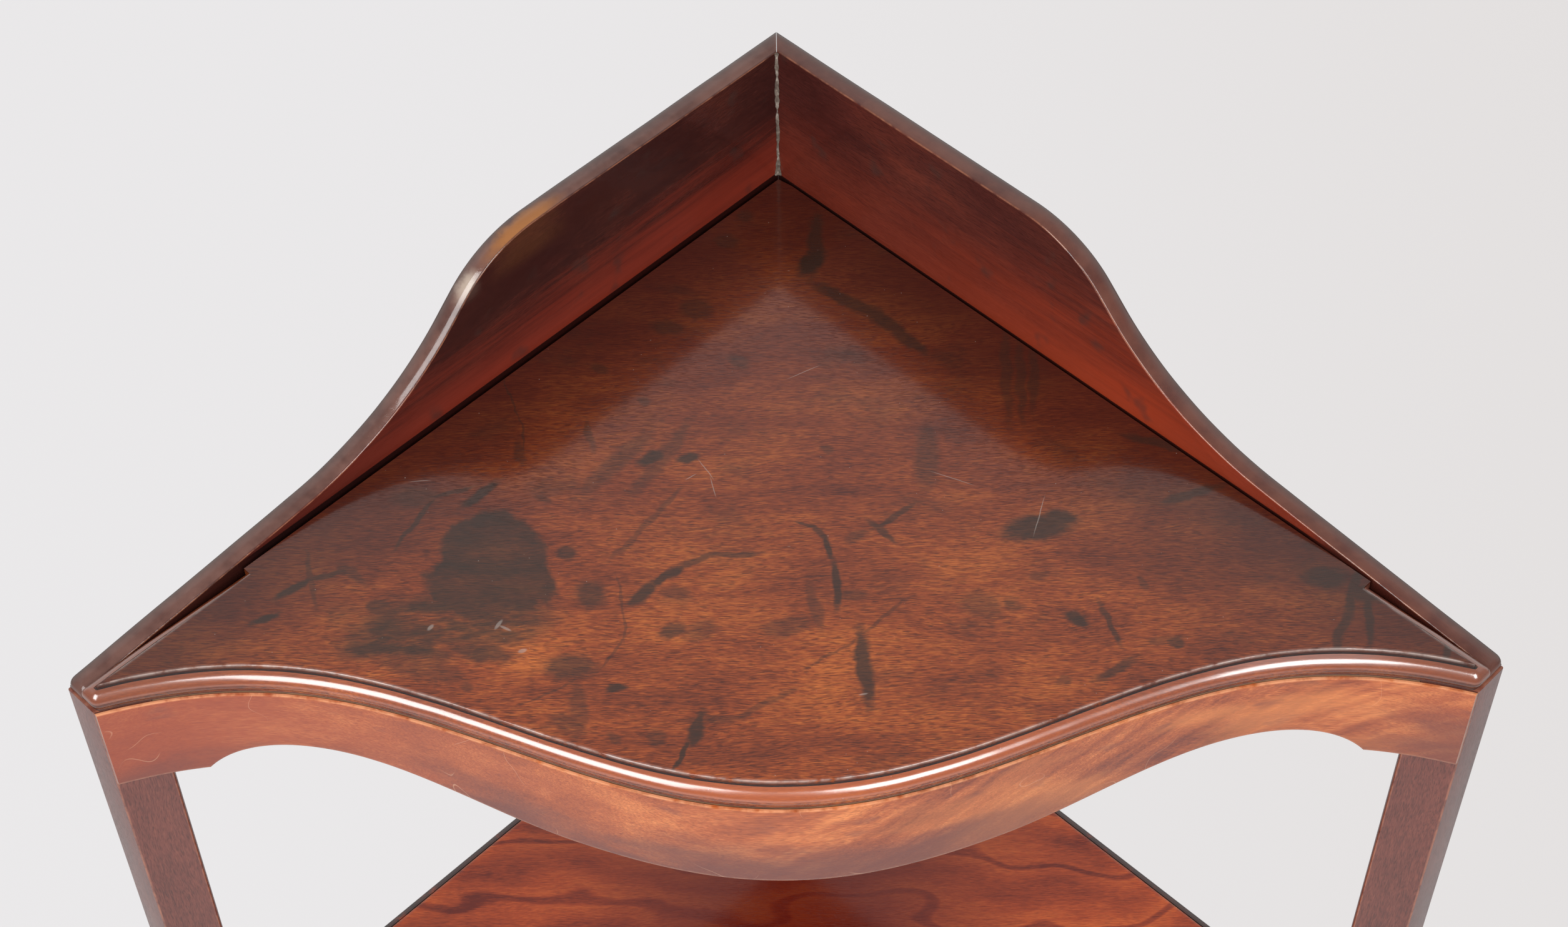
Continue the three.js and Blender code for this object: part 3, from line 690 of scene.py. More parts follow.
@dataclass(frozen=True)
class StainedTop(Mahogany):
    """The top board's wood: ink and ring stains, scratches and pale specks on its upper face."""

    bead_brown: Colour = (0.420, 0.086, 0.016)
    painted_crest_highlight: Colour = (0.520, 0.380, 0.360)
    ink: Colour = (0.022, 0.014, 0.010)
    scratch: Colour = (0.42, 0.36, 0.32)
    back_shade: Colour = (0.088, 0.015, 0.011)
    right_shade: Colour = (0.070, 0.016, 0.010)
    wall_shade: Colour = (0.036, 0.008, 0.006)

    def age(self, graph: Graph, place: Signal, colour: Signal) -> Signal:
        """Add painted shade by the walls, the bead's brown, a painted highlight on its crest, the
        stains and the scratches.

        Args:
            graph: The material's graph.
            place: The place in millimetres.
            colour: The colour so far.

        Returns:
            The changed colour.
        """
        colour = self.wall_dirt_and_shade(graph, place, colour)
        x, polished = graph.part(place, 0), graph.attribute("gloss")
        middle = 1.0 - abs(x - 20.0).mask(50.0, 150.0)
        colour = graph.mix(polished * (middle * 0.38 + 0.36), colour, self.bead_brown)
        # Painted highlight: a pale band along the bead's crest towards the right end.
        crown = graph.part(place, 2).mask(PLAN.surface - 5.0, PLAN.surface - 3.6)
        painted_crest_highlight = polished * crown * x.mask(170.0, 200.0) * x.mask(268.0, 240.0)
        colour = graph.mix(painted_crest_highlight * 0.22, colour, self.painted_crest_highlight)
        flat = place * (1.0, 1.0, 0.0)
        stir = graph.noise(place, 11.0, 3.0, 0.55) - 0.5
        sway = graph.noise(place + (50.0, 20.0, 0.0), 11.0, 3.0, 0.55) - 0.5
        nudged = flat + graph.vector(stir * 6.0, sway * 6.0, 0.0)
        edge = (graph.noise(place, (4.0, 2.6, 2.6), 2.0) - 0.5) * 0.30
        stain = self.ring(graph, flat)
        for group, strength in ((FAINT_MARKS, 0.50), (MEDIUM_MARKS, 0.76), (DARK_MARKS, 0.95)):
            near = (nearness(graph, nudged, group) + edge).mask(0.22, 0.66)
            stain = stain.maximum(near * strength)
        clouds = graph.noise(place, (34.0, 22.0, 22.0), 4.0, 0.66)
        stain = stain.maximum(clouds.mask(0.53, 0.76) * 0.42)
        ink = graph.mix(0.88, colour, self.ink)
        colour = graph.mix(stain * self.uppermost(graph, place), colour, ink)
        bent = flat + graph.vector(stir * 1.5, 0.0, 0.0)
        pale = nearness(graph, bent, SCRATCHES).mask(0.40, 0.70) * 0.40
        specks = graph.noise(place, 1.1, 0.0).mask(0.875, 0.90) * 0.5
        return graph.mix(pale.maximum(specks), colour, self.scratch)

    def wall_dirt_and_shade(self, graph: Graph, place: Signal, colour: Signal) -> Signal:
        """Darken the wood by the walls and the apex with dirt and painted shade, and paint shade on
        the right.

        Args:
            graph: The material's graph.
            place: The place in millimetres.
            colour: The colour so far.

        Returns:
            The changed colour.
        """
        inward = (APEX_Y - graph.part(place, 1) - abs(graph.part(place, 0))) * DIAGONAL
        drift = (graph.noise(place, 30.0, 3.0) - 0.5) * 50.0
        side = 1.0 - (inward + drift).mask(-8.0, 95.0)
        behind = (graph.part(place, 1) + drift * 0.8).mask(-120.0, 120.0)
        # Towards the apex and beside the walls: dirt and painted shade; on the right: painted shade.
        colour = graph.mix(behind * 0.60, colour, self.back_shade)
        colour = graph.mix(graph.part(place, 0).mask(20.0, 240.0) * 0.14, colour, self.right_shade)
        return graph.mix(side * 0.82, colour, self.wall_shade)

    def ring(self, graph: Graph, flat: Signal) -> Signal:
        """Lay out the big round stain on the left, crisp above and fading to the front.

        Args:
            graph: The material's graph.
            flat: The place on the board in millimetres, with no height.

        Returns:
            The stain's strength.
        """
        lumps = graph.noise(flat, 22.0, 4.0, 0.6) - 0.5
        swell = graph.noise(flat + (70.0, 0.0, 0.0), 22.0, 4.0, 0.6) - 0.5
        shifted = flat + graph.vector(lumps * 20.0, swell * 20.0, 0.0)
        disc, tail = nearness(graph, shifted, RING_DISC), nearness(graph, shifted, RING_TAIL)
        rim = nearness(graph, flat + graph.vector(lumps * 5.0, 0.0, 0.0), RING_RIM)
        clouds = graph.noise(flat, (26.0, 9.0, 9.0), 4.0, 0.62)
        body = disc.mask(0.44, 0.54) * (0.60 + clouds * 0.62)
        fade = tail.mask(0.20, 0.70) * clouds.mask(0.18, 0.60)
        return body.maximum(fade).maximum(rim.mask(0.3, 0.7) * 0.85)

    def uppermost(self, graph: Graph, place: Signal) -> Signal:
        """Return 1 on the board's upper face and 0 below it."""
        return graph.part(place, 2).mask(PLAN.surface - 1.2, PLAN.surface - 0.4)


@dataclass(frozen=True)
class SplashWood(Mahogany):
    """A splashboard's wood: dark, with a redder band low down and a browner, rubbed rim."""

    rise: float = 42.0
    strength: float = 0.84
    reach: tuple[float, float] = (20.0, 210.0)
    seam: float = 0.1
    waver: float = 42.0
    glow: Colour = (0.44, 0.054, 0.016)
    rim_brown: Colour = (0.165, 0.060, 0.040)
    shaded_tail: Colour = (0.030, 0.009, 0.007)
    blot: Colour = (0.045, 0.028, 0.024)
    joint: Colour = (0.008, 0.004, 0.004)
    golden: Colour = (0.42, 0.165, 0.045)
    bare: Colour = (0.52, 0.42, 0.34)
    rubbed: tuple[Mark, ...] = ()
    chipped: tuple[Mark, ...] = ()

    def age(self, graph: Graph, place: Signal, colour: Signal) -> Signal:
        """Add the red band, the dark seam at its foot, which is dirt and painted shadow, and the rim's
        wear.

        Args:
            graph: The material's graph.
            place: The place in millimetres.
            colour: The colour so far.

        Returns:
            The changed colour.
        """
        inner = graph.part(place, 1) + abs(graph.part(place, 0)) - APEX_Y
        face = inner.mask(1.2, 0.3)
        fibre = graph.turned(place, self.grain.value)
        drift = graph.noise(fibre, (120.0, 16.0, 12.0), 3.0, 0.55) - 0.5
        streaks = graph.noise(fibre, (60.0, 3.0, 2.2), 3.0, 0.6) - 0.5
        aside = abs(graph.part(place, 0))
        reach = aside.mask(*self.reach)
        above = graph.part(place, 2) - PLAN.surface
        height = above + drift * self.waver + streaks * 32.0
        foot = (1.0 - height.mask(self.rise * -0.1, self.rise * 1.6)) * (0.25 + reach * 0.75)
        foot = foot * (1.0 - aside.mask(140.0, 230.0) * 0.60)
        colour = graph.mix(foot * face * self.strength, colour, self.glow)
        colour = graph.mix(aside.mask(226.0, 240.0) * face * 0.85, colour, self.shaded_tail)
        blots = graph.noise(place, 17.0, 2.0).mask(0.62, 0.76) * 0.5
        colour = graph.mix(blots, colour, self.blot)
        # Near-black just above the top board: dirt in the seam and painted shadow in the gap.
        joint = above.mask(self.seam + 0.7, self.seam) * face * aside.mask(246.0, 226.0)
        colour = graph.mix(joint * 0.92, colour, self.joint)
        mottle = graph.noise(place, (14.0, 14.0, 14.0), 3.0, 0.6).mask(0.25, 0.70)
        colour = graph.mix((1.0 - face) * (0.35 + mottle * 0.50), colour, self.rim_brown)
        return self.worn_spots(graph, place, colour, 1.0 - face * 0.88)

    def worn_spots(self, graph: Graph, place: Signal, colour: Signal, rim: Signal) -> Signal:
        """Add the spots where the rim is rubbed golden or chipped to bare wood.

        Args:
            graph: The material's graph.
            place: The place in millimetres.
            colour: The colour so far.
            rim: 1 on the rim and 0 on the face.

        Returns:
            The changed colour.
        """
        high = graph.part(place, 2).mask(PLAN.surface + 56.0, PLAN.surface + 66.0) * rim
        stir = graph.noise(place, 5.0, 3.0, 0.6) - 0.5
        flat = place * (1.0, 1.0, 0.0) + graph.vector(stir * 5.0, stir * -5.0, 0.0)
        for group, tint in ((self.rubbed, self.golden), (self.chipped, self.bare)):
            if group:
                near = nearness(graph, flat, group).mask(0.15, 0.75) * high
                colour = graph.mix(near * 0.75, colour, tint)
        return colour


@dataclass(frozen=True)
class Veneer(Mahogany):
    """The apron's veneer: slanting figure on the right half and fine pale scratches."""

    red: Colour = (0.290, 0.048, 0.022)
    flare: Colour = (0.740, 0.250, 0.072)
    end_red: Colour = (0.300, 0.062, 0.026)
    dusk: Colour = (0.130, 0.036, 0.030)
    scratch: Colour = (0.80, 0.48, 0.30)
    slant: float = math.radians(34)

    def figure(self, graph: Graph, place: Signal, fibre: Signal) -> Signal:
        """Shade the veneer with broad slanting stripes to the right.

        Args:
            graph: The material's graph.
            place: The place in millimetres.
            fibre: The same place, turned along the grain.

        Returns:
            The shading, around one half.
        """
        plain = super().figure(graph, place, fibre)
        slanted = graph.turned(place, (0.0, self.slant, 0.0))
        sway = graph.noise(place, 45.0, 2.0) - 0.5
        bent = slanted + graph.vector(0.0, 0.0, sway * 16.0)
        stripes = graph.noise(bent, (60.0, 80.0, 7.0), 3.0, 0.55)
        side = graph.part(place, 0).mask(-90.0, 60.0)
        return plain + (stripes - 0.5) * side * 0.95

    def age(self, graph: Graph, place: Signal, colour: Signal) -> Signal:
        """Redden the left, darken the lower edge and add fine curved scratches.

        Args:
            graph: The material's graph.
            place: The place in millimetres.
            colour: The colour so far.

        Returns:
            The changed colour.
        """
        x, z = graph.part(place, 0), graph.part(place, 2)
        cloud = graph.noise(place, (70.0, 70.0, 22.0), 3.0, 0.55) - 0.5
        left = 1.0 - (x + cloud * 160.0).mask(-290.0, -60.0)
        colour = graph.mix(left * 0.68, colour, self.red)
        flare = graph.noise(place, (60.0, 60.0, 18.0), 2.0).mask(0.40, 0.66)
        right = (x + cloud * 120.0).mask(-40.0, 160.0) * (1.0 - x.mask(225.0, 285.0) * 0.7)
        colour = graph.mix(right * flare * 0.46, colour, self.flare)
        colour = graph.mix(x.mask(225.0, 290.0) * 0.40, colour, self.end_red)
        middle = 1.0 - abs(x + 30.0).mask(70.0, 175.0)
        ends = abs(x + cloud * 60.0).mask(215.0, 285.0)
        depth = PLAN.frame_top - z + cloud * 60.0
        dusk = depth.mask(22.0, 54.0) * (0.34 + middle * 0.50)
        dusk = dusk.maximum(ends * (depth + x * 0.03).mask(18.0, 50.0) * 0.72)
        dusk = dusk.maximum(graph.noise(place, (26.0, 26.0, 9.0), 2.0).mask(0.60, 0.74) * 0.35)
        colour = graph.mix(dusk, colour, self.dusk)
        swirl = graph.noise(place, 34.0, 1.0)
        line = abs(swirl * 9.0 - 4.5)
        thin = line.mask(0.020, 0.007) * graph.noise(place, 26.0, 1.0).mask(0.54, 0.66)
        return graph.mix(thin * 0.35, colour, self.scratch)


@dataclass(frozen=True)
class SwirlWood(Mahogany):
    """The shelf's wood: red, with swirling dark figure lines."""

    apron_shade: Colour = (0.105, 0.006, 0.003)

    def figure(self, graph: Graph, place: Signal, fibre: Signal) -> Signal:
        """Shade the wood with swirling figure lines.

        Args:
            graph: The material's graph.
            place: The place in millimetres.
            fibre: The same place, turned along the grain.

        Returns:
            The shading, around one half.
        """
        sway = graph.noise(place, (130.0, 70.0, 90.0), 2.0)
        flow = graph.part(place, 1) * 0.035 + sway * 3.6
        wave = graph.node("ShaderNodeMath", {"operation": "SINE"}, {0: flow * 6.0})
        lines = wave.mask(0.86, 1.0)
        plain = super().figure(graph, place, fibre)
        return plain + wave * 0.12 - lines * 0.34

    def age(self, graph: Graph, place: Signal, colour: Signal) -> Signal:
        """Return the colour darker in the middle, which is painted shade under the apron."""
        middle = 1.0 - abs(graph.part(place, 0)).mask(30.0, 160.0)
        return graph.mix(middle * 0.82, colour, self.apron_shade)


@dataclass(frozen=True)
class CarcassWood(Finish):
    """Bare planed wood of the hidden pieces: dry, dusty and darkened by age."""

    name: str
    grain: Grain = Grain.ACROSS
    dark: Colour = (0.235, 0.105, 0.048)
    light: Colour = (0.47, 0.245, 0.120)
    dust: Colour = (0.17, 0.105, 0.070)

    def build(self) -> bpy.types.Material:
        """Make the material.

        Returns:
            The new material.
        """
        graph = Graph.of_material(self.name)
        place = graph.place()
        fibre = graph.turned(place, self.grain.value)
        wander = graph.noise(fibre, (120.0, 40.0, 40.0), 2.0) - 0.5
        fibre = fibre + graph.vector(0.0, wander * 14.0, wander * 14.0)
        bands = graph.noise(fibre, (160.0, 3.2, 3.2), 3.0, 0.6)
        fine = graph.noise(fibre, (14.0, 0.5, 0.5), 2.0)
        tone = bands * 0.75 + fine * 0.30
        colour = graph.ramp(tone, ((0.25, self.dark), (0.75, self.light)))
        dust = graph.noise(place, 34.0, 4.0, 0.6).mask(0.42, 0.70) * 0.45
        colour = graph.mix(dust, colour, self.dust)
        saw = graph.noise(fibre, (2.4, 60.0, 60.0), 1.0)
        return graph.surface(
            Base_Color=colour,
            Roughness=0.62 + fine * 0.25,
            Normal=graph.bump(fine * 0.6 + saw * 0.5, 0.09),
        )


@dataclass(frozen=True)
class Brass(Finish):
    """Aged brass: brown in its hollows, rubbed bright where hands touch it."""

    name: str = "aged_brass"
    brown: Colour = (0.23, 0.125, 0.045)
    bright: Colour = (0.78, 0.55, 0.24)
    grime_and_shade: Colour = (0.06, 0.035, 0.02)

    def build(self) -> bpy.types.Material:
        """Make the material.

        Returns:
            The new material.
        """
        graph = Graph.of_material(self.name)
        place = graph.place()
        cloud = graph.noise(place, 4.0, 4.0, 0.65)
        rubbed = cloud.mask(0.34, 0.62)
        colour = graph.mix(rubbed, self.brown, self.bright)
        colour = graph.mix(graph.attribute("dirt_and_shade"), colour, self.grime_and_shade)
        return graph.surface(
            Base_Color=colour,
            Metallic=1.0,
            Roughness=0.42 - rubbed * 0.18,
            Normal=graph.bump(graph.noise(place, 1.2, 3.0), 0.03),
        )


@dataclass(frozen=True)
class Filler(Finish):
    """Old grey putty in a joint."""

    name: str = "old_filler"
    dark: Colour = (0.030, 0.016, 0.012)
    middle: Colour = (0.15, 0.115, 0.09)
    pale: Colour = (0.52, 0.46, 0.40)

    def build(self) -> bpy.types.Material:
        """Make the material.

        Returns:
            The new material.
        """
        graph = Graph.of_material(self.name)
        place = graph.place()
        crumbs = graph.noise(place, 1.6, 4.0, 0.7)
        patches = graph.noise(place, 11.0, 3.0)
        stops = ((0.32, self.dark), (0.50, self.middle), (0.66, self.pale))
        colour = graph.ramp(crumbs * 0.5 + patches * 0.5, stops)
        return graph.surface(Base_Color=colour, Roughness=0.8, Normal=graph.bump(crumbs, 0.25))


@dataclass(frozen=True)
class Paper(Finish):
    """The studio's pale floor."""

    name: str = "studio_paper"
    colour: Colour = (0.84, 0.83, 0.83)
    shown: Colour = (0.838, 0.824, 0.832)
    shaded: Colour = (0.780, 0.752, 0.745)

    def build(self) -> bpy.types.Material:
        """Make the material.

        Returns:
            The new material.
        """
        graph = Graph.of_material(self.name)
        cloud = graph.noise(graph.place(), 900.0, 2.0)
        colour = graph.mix(cloud * 0.25, self.colour, tuple(0.93 * part for part in self.colour))
        paper = graph.shader(Base_Color=colour, Roughness=0.9)
        across = graph.part(graph.place(), 0).mask(-500.0, 1100.0)
        tint = graph.mix(across, self.shown, self.shaded)
        plain = graph.node("ShaderNodeEmission", inputs={"Color": tint, "Strength": 1.0})
        seen = graph.node("ShaderNodeLightPath", output="Is Camera Ray") * 0.96
        return graph.end(graph.node("ShaderNodeMixShader", inputs={0: seen, 1: paper, 2: plain}))


# Its pale grey worn colour paints the highlight along the flat's arris as well as wear; its near-black
# dirt colour also paints shade in the quirk and under the bead.
TOP_WOOD = StainedTop(
    "top_mahogany",
    worn_and_sheen=(0.52, 0.43, 0.39),
    dirt_and_shade=(0.042, 0.036, 0.036),
    roughness=0.09,
    polish_roughness=0.23,
    fibres=0.75,
    seed=3.0,
)
RIGHT_SPLASH_WOOD = SplashWood(
    "right_splash_mahogany",
    Grain.RIGHT_WALL,
    deep=(0.034, 0.008, 0.007),
    body=(0.068, 0.0165, 0.0135),
    bright=(0.155, 0.034, 0.021),
    worn_and_sheen=(0.340, 0.130, 0.070),
    dirt_and_shade=(0.060, 0.046, 0.038),
    pores=0.3,
    contrast=0.9,
    fibres=0.40,
    seed=23.0,
)
# Its body and bright colours, darker than the right board's, are painted shade: the left face is
# turned from the key lamp.
LEFT_SPLASH_WOOD = replace(
    RIGHT_SPLASH_WOOD,
    name="left_splash_mahogany",
    grain=Grain.LEFT_WALL,
    body=(0.040, 0.0118, 0.0105),
    bright=(0.100, 0.026, 0.018),
    rise=30.0,
    strength=0.55,
    reach=(420.0, 90.0),
    seam=1.2,
    glow=(0.39, 0.048, 0.023),
    rim_brown=(0.190, 0.092, 0.072),
    rubbed=marks((-113, 71, 17, 4.4, 45)),
    chipped=marks((-138, 46, 5.5, 4.0, 50)),
    seed=11.0,
)
# Its orange worn colour paints the highlight along the apron's top arris as well as wear.
VENEER = Veneer(
    "apron_veneer",
    deep=(0.170, 0.026, 0.009),
    body=(0.440, 0.099, 0.026),
    bright=(0.830, 0.275, 0.080),
    worn_and_sheen=(0.74, 0.33, 0.17),
    pores=0.30,
    contrast=0.95,
    fibres=0.50,
    seed=41.0,
)
LEG_WOOD = Mahogany(
    "leg_mahogany",
    grain=Grain.UPRIGHT,
    deep=(0.060, 0.015, 0.012),
    body=(0.155, 0.040, 0.029),
    bright=(0.260, 0.074, 0.046),
    worn_and_sheen=(0.44, 0.165, 0.095),
    pores=0.35,
    contrast=0.6,
    roughness=0.22,
    relief=0.05,
    fibres=0.65,
    seed=5.0,
)
RAIL_WOOD = Mahogany(
    "rail_mahogany",
    deep=(0.060, 0.016, 0.012),
    body=(0.125, 0.034, 0.020),
    bright=(0.200, 0.060, 0.034),
    roughness=0.24,
    relief=0.05,
    seed=17.0,
)
SHELF_WOOD = SwirlWood(
    "shelf_mahogany",
    deep=(0.160, 0.015, 0.006),
    body=(0.450, 0.066, 0.015),
    bright=(0.740, 0.150, 0.030),
    pores=0.25,
    contrast=0.8,
    fibres=0.55,
    seed=29.0,
)


# Mesh making


@dataclass(frozen=True)
class Spot:
    """A vertex to be: its place in millimetres, its wear and painted sheen, its dirt and painted
    shade, and its thick polish.
    """

    x: float
    y: float
    z: float
    wear_and_sheen: float = 0.0
    dirt_and_shade: float = 0.0
    gloss: float = 0.0


class Form:
    """Collects the faces of one piece."""

    def __init__(self) -> None:
        """Start an empty mesh that keeps wear and painted sheen, dirt and painted shade, and gloss at
        its vertices.
        """
        self.mesh = bmesh.new()
        self.wear_and_sheen = self.mesh.verts.layers.float.new("wear_and_sheen")
        self.dirt_and_shade = self.mesh.verts.layers.float.new("dirt_and_shade")
        self.gloss = self.mesh.verts.layers.float.new("gloss")

    def vertex(self, spot: Spot) -> bmesh.types.BMVert:
        """Add a vertex.

        Args:
            spot: Its place, wear and painted sheen, dirt and painted shade, and polish.

        Returns:
            The new vertex.
        """
        vertex = self.mesh.verts.new(PLAN.row(spot.x, spot.y, spot.z))
        vertex[self.wear_and_sheen], vertex[self.dirt_and_shade], vertex[self.gloss] = spot.wear_and_sheen, spot.dirt_and_shade, spot.gloss
        return vertex

    def loft(
        self,
        sections: Sequence[Sequence[Spot]],
        closed: bool = False,
        round_sections: bool = False,
        capped: bool = True,
    ) -> "Form":
        """Skin a row of sections that have equal numbers of spots.

        Args:
            sections: The sections, in order.
            closed: Whether the last section joins the first.
            round_sections: Whether each section is itself a closed loop.
            capped: Whether the open ends are closed with one face each.

        Returns:
            This form.
        """
        grid = [[self.vertex(spot) for spot in section] for section in sections]
        rows, columns = len(grid), len(grid[0])
        for row in range(rows if closed else rows - 1):
            for column in range(columns if round_sections else columns - 1):
                after, beside = (row + 1) % rows, (column + 1) % columns
                face = self.mesh.faces.new((
                    grid[row][column], grid[after][column],
                    grid[after][beside], grid[row][beside],
                ))
                face.smooth = True
        if capped and closed and not round_sections:
            self.mesh.faces.new([line[0] for line in grid])
            self.mesh.faces.new([line[-1] for line in reversed(grid)])
        if capped and round_sections and not closed:
            self.mesh.faces.new(grid[0])
            self.mesh.faces.new(list(reversed(grid[-1])))
        return self

    def shift(self, move: Callable[[Vector], Vector]) -> "Form":
        """Move every vertex.

        Args:
            move: Gives the shift for a place, both in metres.

        Returns:
            This form.
        """
        for vertex in self.mesh.verts:
            vertex.co += move(vertex.co)
        return self

    def piece(
        self,
        name: str,
        finish: Finish,
        slot: str,
        replaces: Sequence[str] = (),
        body: str = STAND,
        sharp: float = 40.0,
    ) -> bpy.types.Object:
        """Turn the form into a piece that rides on its body.

        Args:
            name: Name of the piece.
            finish: Its finish.
            slot: The record's material slot, which is not used.
            replaces: The CAD nodes it stands for.
            body: The body it rides on.
            sharp: Edges that turn by more than this many degrees stay sharp.

        Returns:
            The new object.
        """
        bmesh.ops.remove_doubles(self.mesh, verts=self.mesh.verts, dist=0.004 * MM)
        bmesh.ops.dissolve_degenerate(self.mesh, edges=self.mesh.edges, dist=0.001 * MM)
        bmesh.ops.recalc_face_normals(self.mesh, faces=self.mesh.faces)
        data = bpy.data.meshes.new(name)
        self.mesh.to_mesh(data)
        self.mesh.free()
        data.set_sharp_from_angle(angle=math.radians(sharp))
        data.materials.append(made(finish))
        made_object = bpy.data.objects.new(name, data)
        bpy.context.scene.collection.objects.link(made_object)
        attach(made_object, body)
        if replaces:
            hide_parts(*replaces)
        log.info("%s: %d faces, rides on %s", name, len(data.polygons), body)
        return made_object


@dataclass(frozen=True)
class RoundedSlab:
    """A board whose arrises are rounded, made from any outline in plan."""

    outline: tuple[Flat, ...]
    bottom: float
    top: float
    radius: float = 1.2
    steps: int = 3
    wear_and_sheen: float = 0.8

    def inset(self, distance: float) -> list[Flat]:
        """Move the outline inwards.

        Args:
            distance: How far each side moves.

        Returns:
            The moved outline.
        """
        count = len(self.outline)
        area = sum(
            self.outline[index - 1][0] * self.outline[index][1]
            - self.outline[index][0] * self.outline[index - 1][1]
            for index in range(count)
        )
        turn = 1 if area > 0 else -1
        moved = []
        for index, point in enumerate(self.outline):
            before, here = Vector(self.outline[index - 1]), Vector(point)
            after = Vector(self.outline[(index + 1) % count])
            first, second = (here - before).normalized(), (after - here).normalized()
            first_in = Vector((-first.y, first.x)) * turn
            second_in = Vector((-second.y, second.x)) * turn
            bisector = (first_in + second_in).normalized()
            reach = distance / max(bisector.dot(first_in), 0.35)
            moved.append(tuple(here + bisector * reach))
        return moved

    def form(self) -> Form:
        """Build the board.

        Returns:
            Its form.
        """
        rings: list[tuple[float, float, float]] = []
        for share in shares(self.steps):
            turn = share * math.pi / 2
            rings.append((
                self.radius * (1 - math.sin(turn)),
                self.top - self.radius * (1 - math.cos(turn)),
                self.wear_and_sheen * math.sin(2 * turn),
            ))
        rings += [
            (inset, self.bottom + self.top - height, wear_and_sheen) for inset, height, wear_and_sheen in reversed(rings)
        ]
        levels = [self.inset(inset) for inset, _, _ in rings]
        sections = [
            [
                Spot(*level[index], height, wear_and_sheen)
                for level, (_, height, wear_and_sheen) in zip(levels, rings)
            ]
            for index in range(len(self.outline))
        ]
        return Form().loft(sections, closed=True)


# Moulded boards


@dataclass(frozen=True)
class Moulding:
    """Section of a board's edge: a quirk, a bead below the upper face, and the plain edge."""

    thickness: float = 12.5
    width: float = 6.0
    drop: float = 1.85
    bead_depth: float = 4.8
    bead_height: float = 5.3
    bead_arc: tuple[float, float] = (89.0, -50.0)
    foot: float = 1.55
    steps: int = 16

    def moulded(self) -> list[tuple[float, float, float, float]]:
        """Lay out the moulded section, from the flat to the underside.

        Returns:
            Inset, height, wear with painted sheen, and dirt with painted shade of each point.
        """
        width = self.width
        section = [
            (width + 2.4, 0.0, 0.0, 0.0),
            (width + 1.4, 0.0, 0.0, 0.0),
            (width + 0.50, -0.03, 0.25, 0.0),
            (width + 0.15, -0.16, 0.75, 0.0),
            (width, -0.40, 0.60, 0.2),
            # Dirt and painted shade darken the quirk below the arris.
            (width - 0.15, -self.drop + 0.1, 0.0, 0.7),
            (width - 0.50, -self.drop - 0.60, 0.0, 1.0),
            (width - 0.95, -self.drop - 0.70, 0.0, 0.9),
            (width - 1.30, -self.drop - 0.50, 0.0, 0.45),
        ]
        for share in shares(self.steps):
            turn = math.radians(lerp(*self.bead_arc, share))
            section.append((
                self.bead_depth * (1 - math.cos(turn)),
                -self.drop - self.bead_height * (1 - math.sin(turn)),
                0.0,
                0.0,
            ))
        # Painted shade on the wall below the bead and on the underside.
        section += [
            (self.foot, 0.6 - self.thickness, 0.0, 0.35),
            (self.foot - 0.1, -self.thickness, 0.0, 1.0),
            (width * 0.95, -self.thickness, 0.0, 1.0),
        ]
        return section

    def gloss(self, inset: float, height: float) -> float:
        """Return how thick the polish lies: full on the bead's upper half and none inside it."""
        waist = -self.drop - self.bead_height
        return 1.0 if inset < self.bead_depth and height > waist + 0.8 else 0.0

    def plain(self) -> list[tuple[float, float, float, float]]:
        """Lay out the plain section with as many points as the moulded one.

        Returns:
            Inset, height, wear with painted sheen, and dirt with painted shade of each point.
        """
        section = []
        last = self.moulded()[-1]
        for inset, height, _, _ in self.moulded()[:-1]:
            if height > -self.drop - self.thickness * 0.32:
                section.append((inset, 0.0, 0.0, 0.0))
            else:
                share = min((height + self.drop) / (self.drop - self.thickness), 1.0)
                section.append((0.0, -share * self.thickness, 0.0, 0.6))
        section.append(last)
        return section


Edge = tuple[Flat, Flat]


